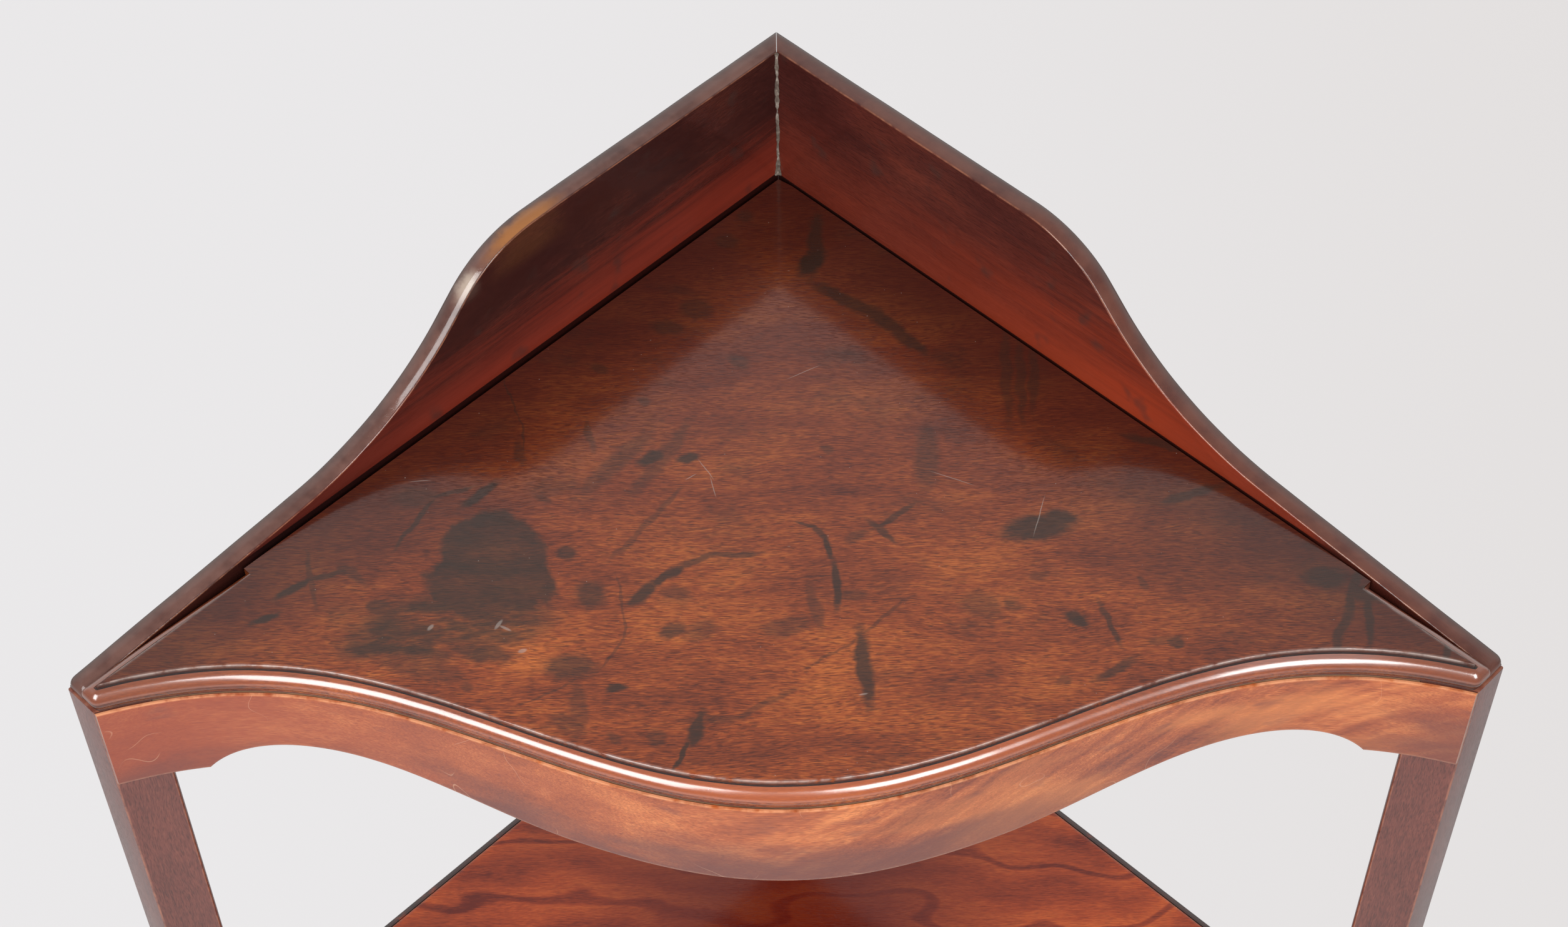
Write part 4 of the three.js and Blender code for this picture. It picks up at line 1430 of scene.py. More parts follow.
@dataclass(frozen=True)
class TopBoard:
    """The top board, moulded along its front and back along part of each splashboard."""

    moulding: Moulding = Moulding()
    splash_thickness: float = SPLASH_THICKNESS
    setback: float = 0.3
    returns: tuple[float, float] = (88.0, 64.0)
    return_gaps: tuple[float, float] = (2.1, 1.3)
    seam_gaps: tuple[float, float] = (2.0, 0.8)
    gap_share: float = 0.62
    spread_length: float = 12.0
    wall_run: float = 1.6
    front_run: float = 2.6
    end_shares: tuple[float, float] = (0.22, 0.66)
    front_steps: int = 300

    def section(self, edge: Edge, plain: bool = False, spread: float = 1.0) -> list[Spot]:
        """Return the section of the board's edge at one station.

        Args:
            edge: The inner and the outer point of the moulding in plan.
            plain: Whether the edge is left square there.
            spread: Share of its width that the worn arris has, less near a sharp corner.

        Returns:
            The spots from the flat to the underside.
        """
        inner, outer = edge
        rows = self.moulding.plain() if plain else self.moulding.moulded()
        width = self.moulding.width
        spots = []
        for inset, height, wear_and_sheen, dirt_and_shade in rows:
            reach = min(inset, width) + max(inset - width, 0.0) * spread
            x, y = between(outer, inner, reach / width)
            gloss = 0.0 if plain else self.moulding.gloss(inset, height)
            spots.append(Spot(x, y, PLAN.surface + height, wear_and_sheen, dirt_and_shade, gloss))
        return spots

    def spread(self, point: Flat, corner: Flat) -> float:
        """Return the share of the arris's width at a distance from the flat's sharp corner."""
        return min(math.dist(point, corner) / self.spread_length, 1.0)

    @property
    def wall(self) -> float:
        """Distance of the board's sides from the wall planes."""
        return self.splash_thickness + PLAN.fit

    def corner(self, side: int) -> Flat:
        """Find the front corner of the flat.

        Args:
            side: -1 for the left corner and 1 for the right one.

        Returns:
            The corner in plan.
        """
        deep = self.setback + self.moulding.width
        x = PLAN.front_side_x(deep, self.wall + self.moulding.width)
        return side * x, PLAN.front_y(x, deep)

    def end_turns(self, side: int) -> list[tuple[Flat, Flat, Flat]]:
        """Lay out the two rounded corners of an end face.

        Args:
            side: -1 for the left end and 1 for the right one.

        Returns:
            Where each rounding starts, its sharp corner and where it ends.
        """
        end_along = PLAN.wall_length - self.setback
        front_x = PLAN.front_end_x(self.setback, self.setback)
        run_x = front_x - self.front_run
        back = PLAN.wall_point(side, end_along, self.wall)
        front = (side * front_x, PLAN.front_y(front_x, self.setback))
        after, before = (between(back, front, share) for share in self.end_shares)
        start = PLAN.wall_point(side, end_along - self.wall_run, self.wall)
        run = (side * run_x, PLAN.front_y(run_x, self.setback))
        return [(start, back, after), (before, front, run)]

    def side(self, side: int) -> list[list[Spot]]:
        """Lay out one side, from the back corner to the end of the front.

        Args:
            side: -1 for the left wall and 1 for the right one.

        Returns:
            The stations, each from the flat to the underside.
        """
        index = 0 if side < 0 else 1
        inner_inset, corner = self.wall + self.moulding.width, self.corner(side)
        seam, gap = self.seam_gaps[index], self.return_gaps[index]
        notch = PLAN.wall_length - self.returns[index]

        def edge(inner_along: float, outer_along: float, outer_inset: float) -> Edge:
            """Return the inner and the outer point of the moulding at one place."""
            inner = PLAN.wall_point(side, inner_along, inner_inset)
            return inner, PLAN.wall_point(side, outer_along, outer_inset)

        stations = [
            self.section(edge(along, along, self.wall + seam), plain=True)
            for along in (lerp(inner_inset + 4, notch, share) for share in shares(30))
        ]
        moulded_from, inner_to = notch + 0.05, PLAN.along_wall(corner)
        outer_to = PLAN.wall_length - self.setback - self.wall_run
        for share in shares(26):
            inner_along = lerp(moulded_from, inner_to, share)
            outer_along = lerp(moulded_from, outer_to, share)
            fade = max(1 - share / self.gap_share, 0.0)
            here = edge(inner_along, outer_along, self.wall + gap * fade)
            stations.append(self.section(here, spread=self.spread(here[0], corner)))
        for turn in self.end_turns(side):
            for share in shares(5):
                stations.append(self.section((corner, bend(*turn, share)), spread=0.0))
        return stations

    def front(self) -> list[list[Spot]]:
        """Lay out the front, from right to left.

        Returns:
            The stations, each from the flat to the underside.
        """
        deep, corner = self.setback + self.moulding.width, self.corner(1)
        outer_x = PLAN.front_end_x(self.setback, self.setback) - self.front_run
        stations = []
        for share in shares(self.front_steps):
            inner, outer = lerp(corner[0], -corner[0], share), lerp(outer_x, -outer_x, share)
            here = (inner, PLAN.front_y(inner, deep)), (outer, PLAN.front_y(outer, self.setback))
            spread = self.spread((abs(inner), here[0][1]), corner)
            stations.append(self.section(here, spread=spread))
        return stations

    def build(self) -> bpy.types.Object:
        """Make the board.

        Returns:
            The new object.
        """
        flat, seam = self.wall + self.moulding.width, self.wall + max(self.seam_gaps)
        edge = PLAN.wall_point(1, flat, flat), PLAN.wall_point(1, seam, seam)
        back = self.section(edge, plain=True)
        stations = [back, *self.side(1), *self.front(), *reversed(self.side(-1))]
        form = Form().loft(stations, closed=True)
        form.shift(self.handled)
        return form.piece("top_board_moulded", TOP_WOOD, "mahogany_top", ["top_board"])

    def handled(self, at: Vector) -> Vector:
        """Shift the old moulding's edge a little.

        Args:
            at: The place in metres.

        Returns:
            The shift in metres.
        """
        depth = PLAN.surface * MM - at.z
        if depth < 0.2 * MM or depth > 11 * MM:
            return Vector()
        return Vector((
            ripple(at, 16.0, 2.0) * 0.10, ripple(at, 13.0, 5.0) * 0.14, ripple(at, 18.0, 9.0) * 0.10,
        )) * MM


@dataclass(frozen=True)
class MiddleShelf:
    """The middle shelf, beaded all round and notched for the three legs."""

    moulding: Moulding = Moulding()
    overhang: float = 1.0
    front_steps: int = 120

    def section(self, edge: Edge, collapsed: bool = False, grime_and_shade: float = 0.0) -> list[Spot]:
        """Lay out the section at one station.

        Args:
            edge: The inner and the outer point of the moulding in plan.
            collapsed: Whether it is a plain upright line at its inner point.
            grime_and_shade: The least darkening the moulding has there, painted shade along the walls.

        Returns:
            The spots from the flat to the underside.
        """
        inner, outer = edge
        rows, width = self.moulding.moulded(), self.moulding.width
        flat = rows[0][0]
        if collapsed:
            x, y = between(outer, inner, flat / width)
            return [
                Spot(x, y, PLAN.shelf_top - share * self.moulding.thickness, 0.0, 0.3)
                for share in shares(len(rows) - 1)
            ]
        spots = []
        for inset, height, wear_and_sheen, dirt_and_shade in [*rows[:-1], (flat, *rows[-1][1:])]:
            x, y = between(outer, inner, inset / width)
            darkening = max(dirt_and_shade, grime_and_shade) if inset < width else dirt_and_shade
            spots.append(Spot(x, y, PLAN.shelf_top + height, wear_and_sheen, darkening))
        return spots

    def side(self, side: int) -> list[list[Spot]]:
        """Lay out one wall side, from the back notch to the front leg's.

        Args:
            side: -1 for the left wall and 1 for the right one.

        Returns:
            The stations, each from the flat to the underside.
        """
        notch_x = PLAN.leg_corner[0] - PLAN.fit
        back_along = PLAN.along_wall(PLAN.leg_corner) - PLAN.fit
        start = PLAN.back_leg_width + PLAN.fit
        width = self.moulding.width

        def edge(along: float) -> Edge:
            """Return the two points of the moulding at one place along the wall."""
            return PLAN.wall_point(side, along, width), PLAN.wall_point(side, along, 0.0)

        stations = [self.section(edge(start), collapsed=True)]
        # Painted shade along the moulding of the wall sides.
        stations += [
            self.section(edge(lerp(start, back_along, share)), grime_and_shade=0.9) for share in shares(40)
        ]
        stations.append(self.section(edge(back_along), collapsed=True))
        notch = (side * notch_x, notch_x - back_along / DIAGONAL)
        stations.append(self.section((notch, notch), collapsed=True))
        stations.append(self.section(self.front_edge(side * notch_x), collapsed=True))
        return stations

    def front_edge(self, x: float) -> Edge:
        """Return the two points of the moulding on the front line."""
        inner_y = PLAN.front_y(x, self.moulding.width - self.overhang)
        return (x, inner_y), (x, PLAN.front_y(x, -self.overhang))

    def build(self) -> bpy.types.Object:
        """Make the shelf.

        Returns:
            The new object.
        """
        back_inset = PLAN.back_leg_width + PLAN.fit
        back = PLAN.wall_point(1, back_inset, back_inset)
        end_x = PLAN.leg_corner[0] - PLAN.fit
        front = [
            self.section(self.front_edge(lerp(end_x, -end_x, share)))
            for share in shares(self.front_steps)
        ]
        stations = [
            self.section((back, back), collapsed=True), *self.side(1), *front,
            *reversed(self.side(-1)),
        ]
        form = Form().loft(stations, closed=True)
        return form.piece("mid_shelf_moulded", SHELF_WOOD, "mahogany_shelf", ["mid_shelf"])


# Splashboards


@dataclass(frozen=True)
class Splashboard:
    """A splashboard: level, over a crown, down a cove and along a falling tail."""

    side: int
    thickness: float = SPLASH_THICKNESS
    height: float = 80.5
    end_drop: float = 6.5
    end_setback: float = 1.0
    level: float = 161.5
    crown: float = 63.5
    cove: float = 150.0
    fall: float = math.radians(45.5)
    tail: float = math.radians(6.7)
    arris: float = 0.8
    crest_width: float = 4.0
    crest_drop: float = 0.3
    back_width: float = 5.2
    back_drop: float = 1.9
    nose: float = 5.0
    mitre: float = 40.0
    worn_depth: float = 42.0

    @property
    def end(self) -> Flat:
        """Where the tail ends: distance along the wall and height."""
        return PLAN.wall_length - self.end_setback, PLAN.surface - self.end_drop

    def crest(self) -> list[Flat]:
        """Lay out the rim as far as the tail: level part, crown, slope and cove.

        Returns:
            Distance along the wall and height of each place.
        """
        top, (end_along, end) = PLAN.surface + self.height, self.end
        sin_fall, cos_fall = math.sin(self.fall), math.cos(self.fall)
        sin_tail, cos_tail = math.sin(self.tail), math.cos(self.tail)
        run = end_along - self.level - self.crown * sin_fall - self.cove * (sin_fall - sin_tail)
        drop = top - end - self.crown * (1 - cos_fall) - self.cove * (cos_tail - cos_fall)
        slope = (drop * cos_tail - run * sin_tail) / math.sin(self.fall - self.tail)
        cove_start = (
            self.level + self.crown * sin_fall + slope * cos_fall,
            top - self.crown * (1 - cos_fall) - slope * sin_fall,
        )
        centre = (cove_start[0] + self.cove * sin_fall, cove_start[1] + self.cove * cos_fall)
        line = [(lerp(0.0, self.level, share), top) for share in shares(24)]
        for turn in (share * self.fall for share in shares(26)[1:]):
            drop = self.crown * (1 - math.cos(turn))
            line.append((self.level + self.crown * math.sin(turn), top - drop))
        for back in (1 - share for share in shares(10)[1:]):
            along = cove_start[0] - slope * cos_fall * back
            line.append((along, cove_start[1] + slope * sin_fall * back))
        for turn in (lerp(self.fall, self.tail, share) for share in shares(26)[1:]):
            along = centre[0] - self.cove * math.sin(turn)
            line.append((along, centre[1] - self.cove * math.cos(turn)))
        return line

    def outline(self) -> list[tuple[float, float, float]]:
        """Lay out the elevation's loop.

        Returns:
            Distance along the wall, height and share of roundness of each place.
        """
        line, bottom, (end_along, end) = self.crest(), PLAN.frame_top + PLAN.fit, self.end
        reach = (end_along - self.nose, end + self.nose * math.tan(self.tail))
        line += [between(line[-1], reach, share) for share in shares(30)[1:]]
        loop = [(*place, 1.0) for place in line]
        for share in shares(6)[1:]:
            at = bend(reach, (end_along, end), (end_along, end - self.nose), share)
            loop.append((*at, lerp(1.0, 0.6, share)))
        loop += [(end_along, bottom + 0.5, 0.4), (end_along - 0.5, bottom, 0.15)]
        loop += [(lerp(end_along - 0.5, 0.0, share), bottom, 0.15) for share in shares(40)[1:]]
        return loop

    def build(self) -> bpy.types.Object:
        """Make the splashboard.

        Returns:
            The new object.
        """
        loop, profile = self.outline(), self.profile()
        worn_from = PLAN.surface - self.worn_depth
        sections = []
        count = len(loop)
        for index, (along, height, roundness) in enumerate(loop):
            before, after = loop[index - 1], loop[(index + 1) % count]
            if index == 0:
                inward = Vector((0.0, -1.0))
            elif along <= 0.0:
                inward = Vector((0.0, 1.0))
            else:
                line = Vector((after[0] - before[0], after[1] - before[1])).normalized()
                inward = Vector((line.y, -line.x))
            worn_and_sheen = 1.0 if height > worn_from and roundness > 0.5 else 0.0
            sections.append([
                self.spot(
                    along + inward.x * pull * roundness,
                    lerp(face, inset, roundness),
                    height + inward.y * pull * roundness,
                    wear_and_sheen * worn_and_sheen,
                    dirt_and_shade * worn_and_sheen,
                )
                for face, inset, pull, wear_and_sheen, dirt_and_shade in profile
            ])
        form = Form().loft(sections, closed=True)
        form.shift(self.handled)
        name = "left" if self.side < 0 else "right"
        finish = LEFT_SPLASH_WOOD if self.side < 0 else RIGHT_SPLASH_WOOD
        return form.piece(
            f"splashboard_{name}_shaped", finish, "mahogany_splash", [f"splashboard_{name}"]
        )

    def profile(self) -> list[tuple[float, float, float, float, float]]:
        """Lay out the rim's section from the inner face to the outer one.

        Returns:
            For each point the inset of its face, its own inset, its drop, its wear with painted sheen
            and its dirt with painted shade.
        """
        inner, tilt = self.thickness, math.atan(2 * self.crest_drop / self.crest_width)
        section = []
        for share in shares(4):
            turn = share * (math.pi / 2 - tilt)
            drop = self.crest_drop + self.arris * (math.cos(tilt) - math.sin(turn))
            wear_and_sheen = 0.75 * math.sin(math.pi * share)
            section.append((inner, inner - self.arris * (1 - math.cos(turn)), drop, wear_and_sheen, 0.0))
        start = section[-1][1]
        for share in shares(5)[1:]:
            drop = self.crest_drop * (1 - share) ** 2
            section.append((inner, start - self.crest_width * share, drop, 0.0, 0.0))
        for share in shares(7):
            turn = (1 - share) * math.pi / 2
            depth = self.back_width * (1 - math.cos(turn))
            section.append((0.0, depth, self.back_drop * (1 - math.sin(turn)), 0.0, 0.75 * share))
        return section

    def spot(self, along: float, inset: float, height: float, wear_and_sheen: float, dirt_and_shade: float) -> Spot:
        """Shear a vertex of the board near the back corner, so that it is mitred.

        Args:
            along: Distance along the wall.
            inset: Distance from the wall.
            height: Height over the floor.
            wear_and_sheen: Its wear, with painted sheen.
            dirt_and_shade: Its dirt, with painted shade.

        Returns:
            The vertex to be.
        """
        sheared = along + (inset + PLAN.fit / 2) * max(1 - along / self.mitre, 0.0)
        return Spot(*PLAN.wall_point(self.side, sheared, inset), height, wear_and_sheen, dirt_and_shade)

    def handled(self, at: Vector) -> Vector:
        """Return the small unevenness of the worn rim at a place."""
        return Vector((0.0, 0.0, ripple(at, 22.0, 3.0) * 0.22 + ripple(at, 60.0, 8.0) * 0.25)) * MM


@dataclass(frozen=True)
class CornerFiller:
    """The crumbling line of putty in the corner between the splashboards."""

    thickness: float = SPLASH_THICKNESS
    foot: float = 0.4
    height: float = 79.0
    steps: int = 90

    def build(self) -> bpy.types.Object:
        """Make the line of putty.

        Returns:
            The new object.
        """
        corner_y = -(self.thickness + PLAN.fit / 2) / DIAGONAL
        sections = []
        for share in shares(self.steps):
            height = PLAN.surface + lerp(self.foot, self.height, share)
            probe = Vector((0.0, 0.0, height * MM))
            width = 0.75 + 0.55 * ripple(probe, 7.0, 4.0) + 0.35 * ripple(probe, 2.5, 8.0)
            width = max(width, 0.15) * (1.5 if share < 0.12 else 1.0)
            swing = 0.3 * ripple(probe, 10.0, 12.0)
            sections.append([
                Spot(-width + swing, corner_y - width, height),
                Spot(swing, corner_y - width * 0.55, height),
                Spot(width + swing, corner_y - width, height),
                Spot(swing * 0.2, corner_y + 0.5, height),
            ])
        form = Form().loft(sections, round_sections=True)
        return form.piece("corner_filler", Filler(), "mahogany_splash")


# Apron and legs


@dataclass(frozen=True)
class Apron:
    """The waved apron: a veneered facing cut to ears, coves and a deeper middle."""

    ear_depth: float = 52.5
    arch_depth: float = 36.9
    middle_depth: float = 53.5
    ear_inset: float = 39.0
    cove_width: float = 43.0
    cove_lead: float = 13.0
    middle_flat: float = 88.0

    def half_stations(self) -> list[Flat]:
        """Lay out the lower edge from the middle to the right end.

        Returns:
            x and depth of each station.
        """
        end = PLAN.front_end_x(0, 0)
        ear = end - self.ear_inset
        arch = ear - self.cove_width
        stations = []
        for share in shares(110)[:-1]:
            x = share * arch
            reach = max(x - self.middle_flat, 0.0) / (arch - self.middle_flat)
            extra = (self.middle_depth - self.arch_depth) * (1 + math.cos(math.pi * reach)) / 2
            stations.append((x, self.arch_depth + extra))
        for share in shares(22):
            back = 1 - share
            x = back * back * arch + 2 * share * back * (ear - self.cove_lead) + share * share * ear
            rise = back * back + 2 * share * back
            stations.append((x, lerp(self.ear_depth, self.arch_depth, rise)))
        stations += [(lerp(ear, end, share), self.ear_depth) for share in shares(12)[1:]]
        return stations

    def build(self) -> bpy.types.Object:
        """Make the facing.

        Returns:
            The new object.
        """
        half = self.half_stations()
        stations = [(-x, depth) for x, depth in reversed(half[1:])] + half
        end = PLAN.front_end_x(0, 0)
        sections = []
        for x, depth in stations:
            bottom, top = PLAN.frame_top - depth, PLAN.frame_top
            # The top arris's pale line is wear and a painted highlight; the strip behind it, under the
            # top board's bead, is painted shade.
            sections.append([
                self.spot(x / end, setback, height, wear_and_sheen, dirt_and_shade)
                for setback, height, wear_and_sheen, dirt_and_shade in (
                    (PLAN.facing, bottom, 0.1, 0.0), (0.55, bottom, 0.4, 0.0),
                    (0.16, bottom + 0.16, 0.6, 0.0), (0.0, bottom + 0.6, 0.2, 0.0),
                    (0.0, bottom + 1.6, 0.0, 0.0),
                    *((0.0, lerp(bottom + 4, top - 4, share), 0.0, 0.0) for share in shares(6)),
                    (0.0, top - 1.1, 0.0, 0.0), (0.06, top - 0.5, 0.7, 0.0),
                    (0.30, top - 0.1, 0.9, 0.0), (1.15, top, 0.75, 0.0), (1.4, top, 0.0, 0.9),
                    (PLAN.facing, top, 0.0, 1.0),
                )
            ])
        form = Form().loft(sections, round_sections=True)
        return form.piece("apron_facing_veneered", VENEER, "mahogany_apron", ["apron_facing"])

    def spot(self, share: float, setback: float, height: float, wear_and_sheen: float, dirt_and_shade: float) -> Spot:
        """Return a vertex at a share of the way from the middle to the end."""
        x = share * PLAN.front_end_x(setback, 0)
        return Spot(x, PLAN.front_y(x, setback), height, wear_and_sheen, dirt_and_shade)


@dataclass(frozen=True)
class FrontLeg:
    """A front leg: straight down to its foot, which sweeps along the wall and tapers."""

    side: int
    foot_height: float = 140.0
    splay: float = 26.0
    taper: float = 0.16
    arris: float = 0.9
    least_turn: float = math.radians(15)
    worn_span: float = 0.8
    wear_and_sheen: float = 0.6

    def outline(self) -> list[Flat]:
        """Lay out the leg's section with rounded corners.

        Returns:
            The outline of the right leg.
        """
        corner = PLAN.leg_corner
        end_x = PLAN.front_end_x(PLAN.leg_setback, 0)
        front = [
            (x, PLAN.front_y(x, PLAN.leg_setback))
            for x in (lerp(end_x, corner[0], share) for share in shares(8))
        ]
        wall_end = PLAN.wall_point(1, PLAN.wall_length, 0)
        corners = [wall_end, *front, corner, PLAN.wall_point(1, PLAN.along_wall(corner), 0)]
        rounded: list[Flat] = []
        count = len(corners)
        for index, here in enumerate(corners):
            before, after = corners[index - 1], corners[(index + 1) % count]
            turn = Vector(here) - Vector(before), Vector(after) - Vector(here)
            if turn[0].angle(turn[1]) < self.least_turn:
                rounded.append(here)
                continue
            start = tuple(Vector(here) - turn[0].normalized() * self.arris)
            end = tuple(Vector(here) + turn[1].normalized() * self.arris)
            rounded += [bend(start, here, end, share) for share in shares(3)]
        return rounded

    def build(self) -> bpy.types.Object:
        """Make the leg.

        Returns:
            The new object.
        """
        outline = self.outline()
        middle = (PLAN.wall_length + PLAN.along_wall(PLAN.leg_corner)) / 2
        centre = PLAN.wall_point(1, middle, PLAN.leg_inner_depth / 2)
        heights = [share * self.foot_height for share in shares(18)]
        heights += [lerp(self.foot_height, PLAN.frame_top, share) for share in shares(60)[1:]]
        sections = []
        for height in heights:
            share = max(1 - height / self.foot_height, 0.0)
            shift = PLAN.wall_point(1, self.splay * share * share, 0)
            scale = 1 - self.taper * share
            ring = []
            for index, (x, y) in enumerate(outline):
                beside = outline[index - 1], outline[(index + 1) % len(outline)]
                rounded = max(math.dist(point, (x, y)) for point in beside) < self.worn_span
                ring.append(Spot(
                    self.side * (centre[0] + (x - centre[0]) * scale + shift[0]),
                    centre[1] + (y - centre[1]) * scale + shift[1],
                    height,
                    self.wear_and_sheen if rounded else 0.0,
                ))
            sections.append(ring)
        name = "left" if self.side < 0 else "right"
        form = Form().loft(sections, round_sections=True)
        return form.piece(f"leg_{name}_shaped", LEG_WOOD, "mahogany_leg", [f"leg_{name}"])


# Frieze, drawer and knobs


# Distance from the edge, depth, wear with painted sheen, and dirt with painted shade in the quirk,
# across the fronts' fine bead.
BEAD_PROFILE = (
    (0.0, 1.1, 0.5, 0.0), (0.35, 0.42, 0.9, 0.0), (0.9, 0.08, 0.6, 0.0),
    (1.5, 0.0, 0.3, 0.0), (2.1, 0.18, 0.1, 0.1), (2.5, 0.70, 0.0, 1.0),
    (2.9, 0.72, 0.0, 1.0), (3.2, 0.32, 0.4, 0.2), (3.7, 0.30, 0.0, 0.0),
)


@dataclass(frozen=True)
class FriezePanel:
    """A front of the frieze that follows the wave, with a fine bead worked round its edge."""

    node: str
    start_x: float
    end_x: float
    bottom: float
    top: float
    thickness: float
    body: str = STAND
    margin: float = 6.0

    def relief(self, edge_distance: float) -> tuple[float, float, float]:
        """Look up the fine bead.

        Args:
            edge_distance: Distance from the nearest edge of the panel.

        Returns:
            How far the face lies back there, with its wear and painted sheen, and its dirt and painted
            shade.
        """
        previous = BEAD_PROFILE[0]
        for row in BEAD_PROFILE:
            if edge_distance <= row[0]:
                width = max(row[0] - previous[0], 1e-6)
                share = (edge_distance - previous[0]) / width
                return tuple(lerp(previous[part], row[part], share) for part in (1, 2, 3))
            previous = row
        return previous[1:]

    def lines(self, length: float, middle: int) -> list[float]:
        """Place the mesh lines across a length, dense near both ends.

        Args:
            length: The length.
            middle: Number of steps between the two beads.

        Returns:
            The places.
        """
        edge = [row[0] for row in BEAD_PROFILE]
        inside = [lerp(self.margin, length - self.margin, share) for share in shares(middle)]
        return edge + inside + [length - place for place in reversed(edge)]

    def build(self) -> bpy.types.Object:
        """Make the panel.

        Returns:
            The new object.
        """
        width, height = self.end_x - self.start_x, self.top - self.bottom
        sections = []
        for across in self.lines(width, max(int(width / 5), 8)):
            x = self.start_x + across
            back_y = PLAN.front_y(x, PLAN.leg_setback + self.thickness)
            section = [Spot(x, back_y, self.bottom)]
            for up in self.lines(height, 8):
                back, wear_and_sheen, dirt_and_shade = self.relief(min(across, width - across, up, height - up))
                face_y = PLAN.front_y(x, PLAN.leg_setback + back)
                section.append(Spot(x, face_y, self.bottom + up, wear_and_sheen, dirt_and_shade))
            sections.append([*section, Spot(x, back_y, self.top)])
        form = Form().loft(sections, round_sections=True)
        return form.piece(f"{self.node}_beaded", VENEER, "mahogany_apron", [self.node], self.body)


@dataclass(frozen=True)
class Knob:
    """A turned brass knob on its round plate."""

    suffix: str
    x: float
    height: float
    body: str = STAND
    radius: float = 9.0
    length: float = 17.0
    plate_radius: float = 11.0
    plate_thickness: float = 1.5
    stem: float = 2.0
    stem_end: float = -20.0
    neck: float = 4.0
    bulge_share: float = 0.62
    turns: int = 48

    def turned(self, profile: Sequence[tuple[float, float, float]]) -> Form:
        """Turn a form about the knob's axis.

        Args:
            profile: Radius, distance forward of the face and dirt of each ring.

        Returns:
            The form.
        """
        angle = PLAN.front_angle(self.x)
        face_y = PLAN.front_y(self.x, PLAN.leg_setback)
        sections = []
        for step in range(self.turns):
            turn = 2 * math.pi * step / self.turns
            ring = []
            for radius, ahead, dirt_and_shade in profile:
                across, up = radius * math.cos(turn), radius * math.sin(turn)
                ring.append(Spot(
                    self.x + across * math.cos(angle) + ahead * math.sin(angle),
                    face_y + across * math.sin(angle) - ahead * math.cos(angle),
                    self.height + up,
                    0.0,
                    dirt_and_shade,
                ))
            sections.append(ring)
        return Form().loft(sections, closed=True, capped=False)

    def build(self) -> list[bpy.types.Object]:
        """Make the knob and its plate.

        Returns:
            The two new objects.
        """
        seat, stem, neck = 2 * PLAN.fit, self.stem, self.neck
        base = seat + self.plate_thickness + PLAN.fit
        tip = base + self.length
        knob = [(0.0, self.stem_end, 0.3), (stem, self.stem_end, 0.3), (stem, base, 0.6)]
        knob += [(neck + 1.0, base, 0.8), (neck + 1.0, base + 0.9, 0.4), (neck, base + 1.4, 0.8)]
        knob += [(neck * 0.86, base + 3.2, 0.6), (neck * 0.95, base + 4.6, 0.6)]
        bulge = base + self.length * self.bulge_share
        for share in shares(9):
            turn = lerp(math.radians(-62), math.radians(90), share)
            height = bulge + (tip - bulge) * math.sin(turn) * (1.0 if turn > 0 else 0.75)
            knob.append((self.radius * math.cos(turn), height, 0.35 * (1 - share)))
        bore, rim, face = stem + PLAN.fit, self.plate_radius, seat + self.plate_thickness
        plate = [
            (bore, seat, 0.8), (rim, seat, 0.8), (rim, seat + 0.45, 0.3), (rim - 0.5, seat + 0.8, 0.0),
            (rim - 1.6, seat + 0.75, 0.8), (rim - 2.2, seat + 1.25, 0.0), (rim - 4.5, face, 0.2),
            (bore, face, 0.8), (bore, seat, 0.8),
        ]
        return [
            self.turned(profile).piece(
                f"{name}_{self.suffix}_turned", Brass(), "brass", [f"{name}_{self.suffix}"],
                self.body, 50.0,
            )
            for name, profile in (("knob", knob), ("knob_plate", plate))
        ]


@dataclass(frozen=True)
class Frieze:
    """The frieze under the middle shelf: two fixed panels, the drawer's front and their knobs."""

    drawer_half_width: float = 112.0
    reveal: float = 0.8
    panel_thickness: float = 14.0
    drawer_front_thickness: float = 18.0

    def build(self) -> None:
        """Make the panels, the drawer's front and the knobs."""
        inner, outer = self.drawer_half_width + self.reveal, PLAN.leg_corner[0] - PLAN.fit
        bottom, top = PLAN.drawer_rail_top, PLAN.frieze_top
        for side, start_x, end_x in (("left", -outer, -inner), ("right", inner, outer)):
            FriezePanel(
                f"frieze_panel_{side}", start_x, end_x, bottom + PLAN.fit, top - PLAN.fit,
                self.panel_thickness,
            ).build()
        FriezePanel(
            "drawer_front", -self.drawer_half_width, self.drawer_half_width, bottom + self.reveal,
            top - self.reveal, self.drawer_front_thickness, DRAWER,
        ).build()
        knob_x, middle = (inner + outer) / 2, (bottom + top) / 2
        Knob("left", -knob_x, middle).build()
        Knob("right", knob_x, middle).build()
        Knob("drawer", 0.0, middle, DRAWER).build()


